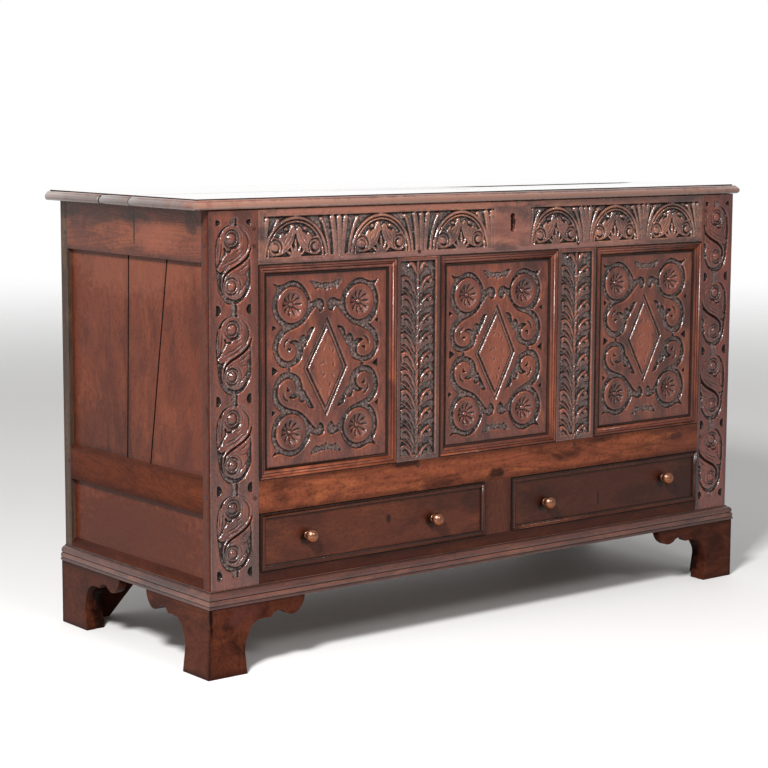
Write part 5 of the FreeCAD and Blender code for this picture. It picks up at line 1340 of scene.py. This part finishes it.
class CHEST_OT_front_plain(bpy.types.Operator):
    """Round off the plain rails, the short muntin and the mouldings of the front"""
    bl_idname = "chest.front_plain"
    bl_label = "Plain Rails and Mouldings"

    def execute(self, context):
        arris = context.scene.chest_sizes.arris / MM
        blots = front_blots((-239, 356, 45, 10, 0.8), (5, 311, 26, 12, 0.85), (531, 337, 30, 9, 0.7),
                            (300, 352, 50, 8, 0.5), (590, 325, 160, 60, 0.45, (0.07, 0.024, 0.018)))
        looks = (
            ("front_middle_rail", tones("waxed_middle_rail", body=1.5, glow=1.3, glow_share=0.9,
                                        tint=(1.05, 1.12, 1.08), gloss=0.12, blots=blots)),
            ("front_bottom_rail", tones("waxed_bottom_rail", body=0.3, glow=0.34, glow_share=0.5, gloss=0.12)),
            ("drawer_muntin", tones("waxed_drawer_muntin", body=0.55, glow=0.5, gloss=0.2)),
        )
        for seed, (node, material) in enumerate(looks, 51):
            soften(node, arris, material, "oak_frame", seed)
        # A lighter tone along the top strips of the mouldings, which face up: painted light.
        light = front_blots((0, 758, 700, 12, 0.5, (0.27, 0.10, 0.075)), face=-265)
        mouldings = tones("waxed_mouldings", body=1.15, glow=1.05, glow_share=0.7, tint=(1.05, 1.0, 1.05),
                          relief=0.15, gloss=0.4, seam=0.0038, blots=light)
        soften_all(["panel_moulding_" + side for side in OPENINGS], 61, 0.0, mouldings, "oak_panel_moulding",
                   smooth=ROUND_LIMIT, rework=part_strips, coves=1.0)
        return {"FINISHED"}


class CHEST_OT_ends(bpy.types.Operator):
    """Round off the rails and panels of both ends"""
    bl_idname = "chest.ends"
    bl_label = "Ends"

    def execute(self, context):
        arris = context.scene.chest_sizes.arris / MM
        top = tones("waxed_end_top_rail", body=1.1, glow=0.95, deep=1.2, glow_share=0.6, figure=0.35, rings=260.0,
                    gloss=0.3, blots=(((-700, -90, 815), (20, 95, 40), 0.5, (0.26, 0.075, 0.04)),
                                      ((-700, -12, 830), (20, 4.5, 60), 0.8), ((-700, -215, 845), (20, 30, 30), 0.6),
                                      ((700, 30, 830), (20, 3.0, 40), 0.5)))
        middle = tones("waxed_end_rails", body=0.6, glow=0.5, tint=(1.0, 0.9, 0.72), glow_share=0.5, gloss=0.05)
        low = tones("waxed_end_low", body=0.34, glow=0.3, tint=(1.0, 0.8, 0.65), glow_share=0.5, gloss=0.06)
        panels = tones("waxed_end_panels", body=0.95, glow=0.84, deep=1.7, tint=(1.0, 0.98, 1.0), glow_share=0.5,
                       figure=0.1, hidden=0.006, fibre_share=0.25, gloss=0.14,
                       blots=(((-690, 0, 225), (60, 330, 110), 0.8, (0.07, 0.012, 0.003)),
                              ((690, 0, 225), (60, 330, 110), 0.55), ((-690, 120, 400), (60, 200, 90), 0.3),
                              ((-690, 20, 765), (60, 300, 90), 0.35, (0.27, 0.09, 0.05))))
        for side, start in (("left", 71), ("right", 76)):
            for seed, (level, material) in enumerate((("top", top), ("middle", middle), ("bottom", low)), start):
                soften("end_" + level + "_rail_" + side, arris, material, "oak_end", seed)
            soften("end_panels_" + side, 0.9, panels, "oak_end", start + 3, grimy=1)
        return {"FINISHED"}


class CHEST_OT_back(bpy.types.Operator):
    """Round off the frame and panels of the back"""
    bl_idname = "chest.back"
    bl_label = "Back"

    def execute(self, context):
        plain = oak("plain_back_oak", (0.035, 0.018, 0.011), (0.1, 0.052, 0.03), (0.17, 0.088, 0.05), rough=0.55,
                    glow_share=0.5, relief=0.5)
        parts = ("stile_left", "stile_right", "top_rail", "middle_rail", "bottom_rail", "muntins", "panels")
        soften_all(["back_" + part for part in parts], 81, context.scene.chest_sizes.arris / MM, plain, "oak_back")
        return {"FINISHED"}


class CHEST_OT_inside(bpy.types.Operator):
    """Round off the floor of the chest and the drawer runners"""
    bl_idname = "chest.inside"
    bl_label = "Inside"

    def execute(self, context):
        soften_all(("floor_boards", "drawer_runners"), 91, 0.8, dry_oak("dry_inside_oak"), "oak_inside")
        return {"FINISHED"}


class CHEST_OT_base(bpy.types.Operator):
    """Round off the base moulding and the bracket feet"""
    bl_idname = "chest.base"
    bl_label = "Base and Feet"

    def execute(self, context):
        base = tones("waxed_base", body=0.9, glow=0.85, tint=(0.92, 1.15, 1.6), glow_share=0.5, gloss=0.6)
        soften("base_mouldings", 0.0, base, "oak_base_moulding", 101, ROUND_LIMIT, part_strips, coves=0.9)
        # Dark blots on the inner sides of the feet, under the carcase: painted shadow.
        blots = tuple(((x, y, 60), (52, 50, 120), 0.92) for x in (-648, 648) for y in (-221, 211))
        blots += tuple(((x, 152, 60), (34, 62, 120), 0.92) for x in (-672, 672))
        blots += (((-708, -225, 70), (5, 42, 70), 0.7, (0.125, 0.028, 0.010)),
                  ((-709, -280, 60), (5, 5, 160), 0.95),
                  ((-640, -279, 80), (70, 5, 70), 0.5, (0.095, 0.030, 0.026)))
        feet = tones("waxed_feet", body=0.52, deep=0.6, glow=0.45, glow_share=0.6, gloss=0.06, blots=blots)
        soften_all(["foot_" + place for place in ("front_left", "front_right", "back_left", "back_right")], 102, 1.2,
                   feet, "oak_foot")
        return {"FINISHED"}


# The crack along the lid's front board: its line, half its width, how far its mouth at the left edge reaches in,
# how deep it is there, and the part on the right where its front lip has sunk.
CRACK_Y = -48.0
CRACK_HALF = 1.1
CRACK_DEEP = 3.5
SUNK_LIP = (130.0, 520.0)
SUNK_DEEP = 1.5
SLOPE_WIDTH = 45.0
SLOPE_ENDS = (30.0, 620.0)


def open_crack(shape):
    """Cut a crack along the lid's front board, deep at the left edge, with one lip sunk on the right."""
    middle = (CRACK_Y + CARCASE_Y) * MM
    across = [middle + offset * MM for offset in (-SLOPE_WIDTH, -CRACK_HALF, CRACK_HALF, 0.0)]
    cut_planes(shape, [((0.0, y, 0.0), (0.0, 1.0, 0.0)) for y in across])
    cut_planes(shape, [((x * MM, 0.0, 0.0), (1.0, 0.0, 0.0)) for x in sorted(SLOPE_ENDS + SUNK_LIP)])
    left = min(v.co.x for v in shape.verts)
    for vert in shape.verts:
        x, y, z = vert.co
        below_top = LID_TOP - z / MM
        if below_top < 1.0 and -0.0012 < y - middle < 0.0001 and SUNK_LIP[0] - 1.0 < x / MM < SUNK_LIP[1] + 1.0:
            vert.co.z -= SUNK_DEEP * MM
        if abs(y - middle) < 1e-5:
            if x < left + 0.02:
                vert.co.x += CRACK_DEEP * MM
            if below_top < 2.0 and vert.co.x < 0.0:
                vert.co.z -= CRACK_DEEP * MM


class CHEST_OT_lid(bpy.types.Operator):
    """Round off the lid's boards and open the crack along the front one"""
    bl_idname = "chest.lid"
    bl_label = "Lid"

    def execute(self, context):
        edges = (((0, -277, 880), (1400, 9, 20), 0.75, (0.27, 0.135, 0.095)),
                 ((-738, 0, 879), (14, 330, 14), 0.9, (0.115, 0.085, 0.077)))
        # Dark lines: the crack along the front board and its right part, the joint between the boards at the left end,
        # and painted shadow lines along the top above the front and left noses.
        cracks = (((-560, CRACK_Y, 885), (300, 2.2, 40)), ((-735, 60, 879), (24, 2.6, 40)),
                  ((315, CRACK_Y, 888), (330, 2.4, 8)), ((0, -263, 887.8), (3000, 1.7, 1.7)),
                  ((-723, 0, 887.8), (1.7, 3000, 1.7)))
        top = tones("waxed_lid", deep=1.2, body=1.1, glow_share=0.6, rough=0.16, relief=0.04, coat=1.0, blots=edges,
                    cracks=cracks, dry_below=869.4)
        soften("lid_front_board", 0.6, top, "oak_lid", 111, ROUND_LIMIT, open_crack, coves=0.6)
        soften("lid_back_board", 0.6, top, "oak_lid", 112, ROUND_LIMIT, coves=0.6)
        return {"FINISHED"}


# Each drawer: first seed, tone, the middles of its knobs, and its blots.
DRAWERS = (
    ("left", 121, 0.6, ((-476, 242), (-162, 236)), ((-277, 249, 8, 11, 0.85), (-60, 262, 40, 34, 0.5))),
    ("right", 131, 0.38, ((144, 234), (498, 248)), ((298, 226, 3, 24, 0.8), (120, 240, 70, 40, 0.35),
                                                     (420, 220, 90, 26, 0.35), (585, 240, 70, 90, 0.4))),
)
DRAWER_FACE = -267


class CHEST_OT_drawers(bpy.types.Operator):
    """Finish the drawers: fronts with their edging, sides, backs and bottoms"""
    bl_idname = "chest.drawers"
    bl_label = "Drawers"

    def execute(self, context):
        strips = tones("waxed_edging", body=0.55, glow=0.5, glow_share=0.4, gloss=0.3, seam=0.0022)
        dry = dry_oak("dry_drawer_oak", 0.9)
        for side, start, share, knobs, blots in DRAWERS:
            # A dark blot round each knob, set to its lower left: the knob's painted shadow.
            behind = [(u - 7, v - 5, 17, 18, 0.9) for u, v in knobs]
            name = "drawer_" + side + "_"
            front = tones("waxed_" + name + "front", body=share, glow=share * 0.85, glow_share=0.7, figure=0.1,
                          gloss=0.2, blots=front_blots(*blots, *behind, face=DRAWER_FACE))
            soften(name + "front", 0.6, front, "oak_drawer_front", start)
            soften(name + "edging", 0.0, strips, "oak_edging", start + 1, ROUND_LIMIT, part_strips, coves=0.7)
            soften_all([name + part for part in ("sides", "back", "bottom")], start + 2, 0.7, dry, "oak_inside")
        return {"FINISHED"}


class CHEST_OT_knobs(bpy.types.Operator):
    """Turn the four knobs"""
    bl_idname = "chest.knobs"
    bl_label = "Knobs"

    def execute(self, context):
        body = context.scene.chest_colours.brass
        brass = metal("aged_brass", body, [c * 0.4 for c in body], 0.24, 160.0, 0.8, (0.23, 0.065, 0.02))
        for side in ("left", "right"):
            for hand in ("left", "right"):
                soften("drawer_" + side + "_knob_" + hand, 0.0, brass, "knob_brass", 141, ROUND_LIMIT)
        return {"FINISHED"}


PEG_RADIUS = 3.95
PEG_SIDES = 9
PEG_SEED = 3


def peg_tree(material):
    """Geometry nodes that set a faceted peg on each point, and the names of the tree's inputs."""
    tree = bpy.data.node_groups.new("oak_pegs", "GeometryNodeTree")
    keys = {}
    for name, kind in (("Points", "Geometry"), ("Radius", "Float"), ("Sides", "Int"), ("Seed", "Int")):
        socket = tree.interface.new_socket(name=name, in_out="INPUT", socket_type="NodeSocket" + kind)
        keys[name] = socket.identifier
    tree.interface.new_socket(name="Pegs", in_out="OUTPUT", socket_type="NodeSocketGeometry")
    bench = Wire(tree)
    given = bench.node("NodeGroupInput", {}, {}, None)
    wires = {name: Wire(tree, next(s for s in given.outputs if s.identifier == key)) for name, key in keys.items()}

    def carried(name, kind):
        return bench.node("GeometryNodeInputNamedAttribute", {"data_type": kind}, {"Name": name}, "Attribute")

    def upright(across, height):
        return bench.node("ShaderNodeCombineXYZ", {}, {"X": across, "Y": across, "Z": height}, "Vector")

    points = bench.node("GeometryNodeMeshToPoints", {}, {"Mesh": wires["Points"]}, "Points")
    peg = bench.node("GeometryNodeMeshCylinder", {}, {"Vertices": wires["Sides"], "Radius": wires["Radius"],
                                                      "Depth": 1.0}, "Mesh")
    roll = bench.node("FunctionNodeRandomValue", {"data_type": "FLOAT"},
                      {"Min_001": 0.0, "Max_001": 2.0 * math.pi, "Seed": wires["Seed"]}, "Value_001")
    set_down = bench.node("GeometryNodeInstanceOnPoints", {},
                          {"Points": points, "Instance": peg, "Rotation": carried("turn", "FLOAT_VECTOR"),
                           "Scale": upright(1.0, carried("length", "FLOAT"))}, "Instances")
    rolled = bench.node("GeometryNodeRotateInstances", {}, {"Instances": set_down, "Rotation": upright(0.0, roll)},
                        "Instances")
    solid = bench.node("GeometryNodeRealizeInstances", {}, {"Geometry": rolled}, "Geometry")
    coated = bench.node("GeometryNodeSetMaterial", {}, {"Geometry": solid, "Material": material}, "Geometry")
    tree.links.new(coated.socket, tree.nodes.new("NodeGroupOutput").inputs[0])
    return tree, keys


class CHEST_OT_pegs(bpy.types.Operator):
    """Drive the pegs that hold the frames, each with its own facets"""
    bl_idname = "chest.pegs"
    bl_label = "Pegs"

    def execute(self, context):
        mesh = worked_copy("frame_pegs")
        co = read(mesh.vertices, "co", 3)
        label = separate_boards(mesh)
        middles, lengths, turns = [], [], []
        for one in np.unique(label):
            low, high = co[label == one].min(0), co[label == one].max(0)
            middles.append((low + high) / 2.0)
            lengths.append((high - low).max())
            turns.append((math.pi / 2, 0.0, 0.0) if np.argmax(high - low) == 1 else (0.0, math.pi / 2, 0.0))
        places = bpy.data.meshes.new("peg_points")
        places.from_pydata([tuple(m) for m in middles], [], [])
        mark(places, "length", lengths)
        mark(places, "turn", turns)
        material = tones("waxed_pegs", body=0.55, glow=0.5)
        tree, keys = peg_tree(material)
        pegs = modified(places, "NODES", {"node_group": tree},
                        {keys["Radius"]: PEG_RADIUS * MM, keys["Sides"]: PEG_SIDES, keys["Seed"]: PEG_SEED})
        corner_marks(pegs)
        lay_grain(pegs, 151)
        add_piece("frame_pegs", "_cut", pegs, material)
        return {"FINISHED"}


class CHEST_OT_hardware(bpy.types.Operator):
    """Give the hinges, the lock and the screws their old iron"""
    bl_idname = "chest.hardware"
    bl_label = "Hardware"

    def execute(self, context):
        colours = context.scene.chest_colours
        iron = metal("old_iron", colours.iron, (0.05, 0.022, 0.012), 0.42, 120.0)
        for node in ("lock_case", "lock_bolt", "lock_staple", "hinge_leaves_carcase", "hinge_leaves_lid",
                     "carcase_screws", "lid_screws"):
            mesh = frame["nodes"][node].data
            mesh.materials.clear()
            mesh.materials.append(iron)
        return {"FINISHED"}


class CHEST_OT_stage(bpy.types.Operator):
    """Lay the floor, hang the lamps and set the camera"""
    bl_idname = "chest.stage"
    bl_label = "Stage"

    def execute(self, context):
        scene = context.scene
        set_floor(scene)
        set_lamps(scene)
        set_camera(scene)
        scene.view_settings.view_transform = "Standard"
        return {"FINISHED"}


# Lengths in metres, powers in watts.
FLOOR_REACH = 30.0
FLOOR_FADE = (2.2, 9.0)
FLOOR_BOUNCE = (0.36, 0.30, 0.27)
LAMPS = (("key", (-2.8, -2.0, 3.0), 0.7, 235.0), ("front", (-0.4, -3.8, 3.0), 0.9, 40.0))
LAMPS_AIM = (0.0, 0.0, 0.5)
ROOM_LIGHT = 0.37
DIM_FRONT = 0.45


def seen_rays(bench):
    """1 for rays that show a thing itself: from the camera, in a gloss or through glass."""
    camera, gloss, through = (bench.node("ShaderNodeLightPath", {}, {}, "Is " + kind + " Ray")
                              for kind in ("Camera", "Glossy", "Transmission"))
    return camera.most(gloss).most(through)


def set_floor(scene):
    """A wide pale floor that fades into the pale surrounding."""
    corners = [(x * FLOOR_REACH, y * FLOOR_REACH, 0) for x, y in ((-1, -1), (1, -1), (1, 1), (-1, 1))]
    mesh = bpy.data.meshes.new("floor")
    mesh.from_pydata(corners, [], [(0, 1, 2, 3)])
    floor = bpy.data.objects.new("floor", mesh)
    scene.collection.objects.link(floor)
    material = bpy.data.materials.new("pale_floor")
    bench = new_bench(material)
    far = bench.place().length().ease(*FLOOR_FADE)
    colour = bench.blend(colour4(FLOOR_BOUNCE), colour4(scene.chest_colours.floor), seen_rays(bench))
    clear = bench.node("ShaderNodeBsdfTransparent", {}, {}, "BSDF")
    bench.finish(bench.either(bench.solid({"Base Color": colour, "Roughness": 0.7}), clear, far))
    mesh.materials.append(material)


def aim(thing, target):
    """Turn a lamp or camera to look at a point."""
    thing.rotation_euler = (Vector(target) - thing.location).to_track_quat("-Z", "Y").to_euler()


def set_lamps(scene):
    """A lamp from the upper left, a weaker one from the front, and a pale surrounding."""
    for name, place, size, power in LAMPS:
        data = bpy.data.lights.new(name, "AREA")
        data.shape = "SQUARE"
        data.size = size
        data.energy = power
        lamp = bpy.data.objects.new(name, data)
        lamp.location = place
        aim(lamp, LAMPS_AIM)
        scene.collection.objects.link(lamp)
    world = bpy.data.worlds.new("pale_room")
    scene.world = world
    bench = new_bench(world)
    gloss = bench.node("ShaderNodeLightPath", {}, {}, "Is Glossy Ray")
    in_front = 1.0 - bench.place("Generated").parts()[1].ease(-0.5, 0.3)
    strength = seen_rays(bench) * (1.0 - ROOM_LIGHT) + ROOM_LIGHT - gloss * in_front * DIM_FRONT
    bench.finish(bench.node("ShaderNodeBackground", {}, {"Color": (1.0, 1.0, 1.0, 1.0), "Strength": strength},
                            "Background"), "World")


CAMERA_PLACE = (-2.7492, -3.36875, 1.0520)
CAMERA_YAW = -38.441
CAMERA_PITCH = -7.6456
CAMERA_ROLL = 0.2442
CAMERA_LENS = 96.0
CAMERA_SENSOR = 36.0


def set_camera(scene):
    """The camera, to the left in front of the chest."""
    data = bpy.data.cameras.new("camera")
    data.lens = CAMERA_LENS
    data.sensor_width = CAMERA_SENSOR
    camera = bpy.data.objects.new("camera", data)
    camera.location = CAMERA_PLACE
    yaw, pitch, roll = (math.radians(a) for a in (CAMERA_YAW, CAMERA_PITCH, CAMERA_ROLL))
    ahead = Vector((-math.sin(yaw) * math.cos(pitch), math.cos(yaw) * math.cos(pitch), math.sin(pitch)))
    turn = ahead.to_track_quat("-Z", "Y").to_matrix().to_4x4() @ Matrix.Rotation(roll, 4, "Z")
    camera.rotation_euler = turn.to_euler()
    scene.collection.objects.link(camera)
    scene.camera = camera


BUILD_STEPS = (
    CHEST_OT_stage, CHEST_OT_posts, CHEST_OT_top_rail, CHEST_OT_muntins, CHEST_OT_panels, CHEST_OT_front_plain,
    CHEST_OT_ends, CHEST_OT_back, CHEST_OT_inside, CHEST_OT_base, CHEST_OT_lid, CHEST_OT_drawers, CHEST_OT_knobs,
    CHEST_OT_pegs, CHEST_OT_hardware,
)


class CHEST_PT_panel(bpy.types.Panel):
    """The chest's colours, sizes and building steps"""
    bl_idname = "CHEST_PT_panel"
    bl_label = "Mule Chest"
    bl_space_type = "VIEW_3D"
    bl_region_type = "UI"
    bl_category = "Mule Chest"

    def draw(self, context):
        column = self.layout.column()
        for group in (context.scene.chest_colours, context.scene.chest_sizes):
            for key in group.__annotations__:
                column.prop(group, key)
        for step in BUILD_STEPS:
            column.operator(step.bl_idname)


CLASSES = (ChestColours, ChestSizes) + BUILD_STEPS + (CHEST_PT_panel,)


def register():
    for item in CLASSES:
        bpy.utils.register_class(item)
    bpy.types.Scene.chest_colours = bpy.props.PointerProperty(type=ChestColours)
    bpy.types.Scene.chest_sizes = bpy.props.PointerProperty(type=ChestSizes)


def unregister():
    del bpy.types.Scene.chest_sizes
    del bpy.types.Scene.chest_colours
    for item in reversed(CLASSES):
        bpy.utils.unregister_class(item)


def main():
    """Build the whole chest."""
    register()
    for step in BUILD_STEPS:
        family, name = step.bl_idname.split(".")
        getattr(getattr(bpy.ops, family), name)()


if __name__ == "__main__":
    main()
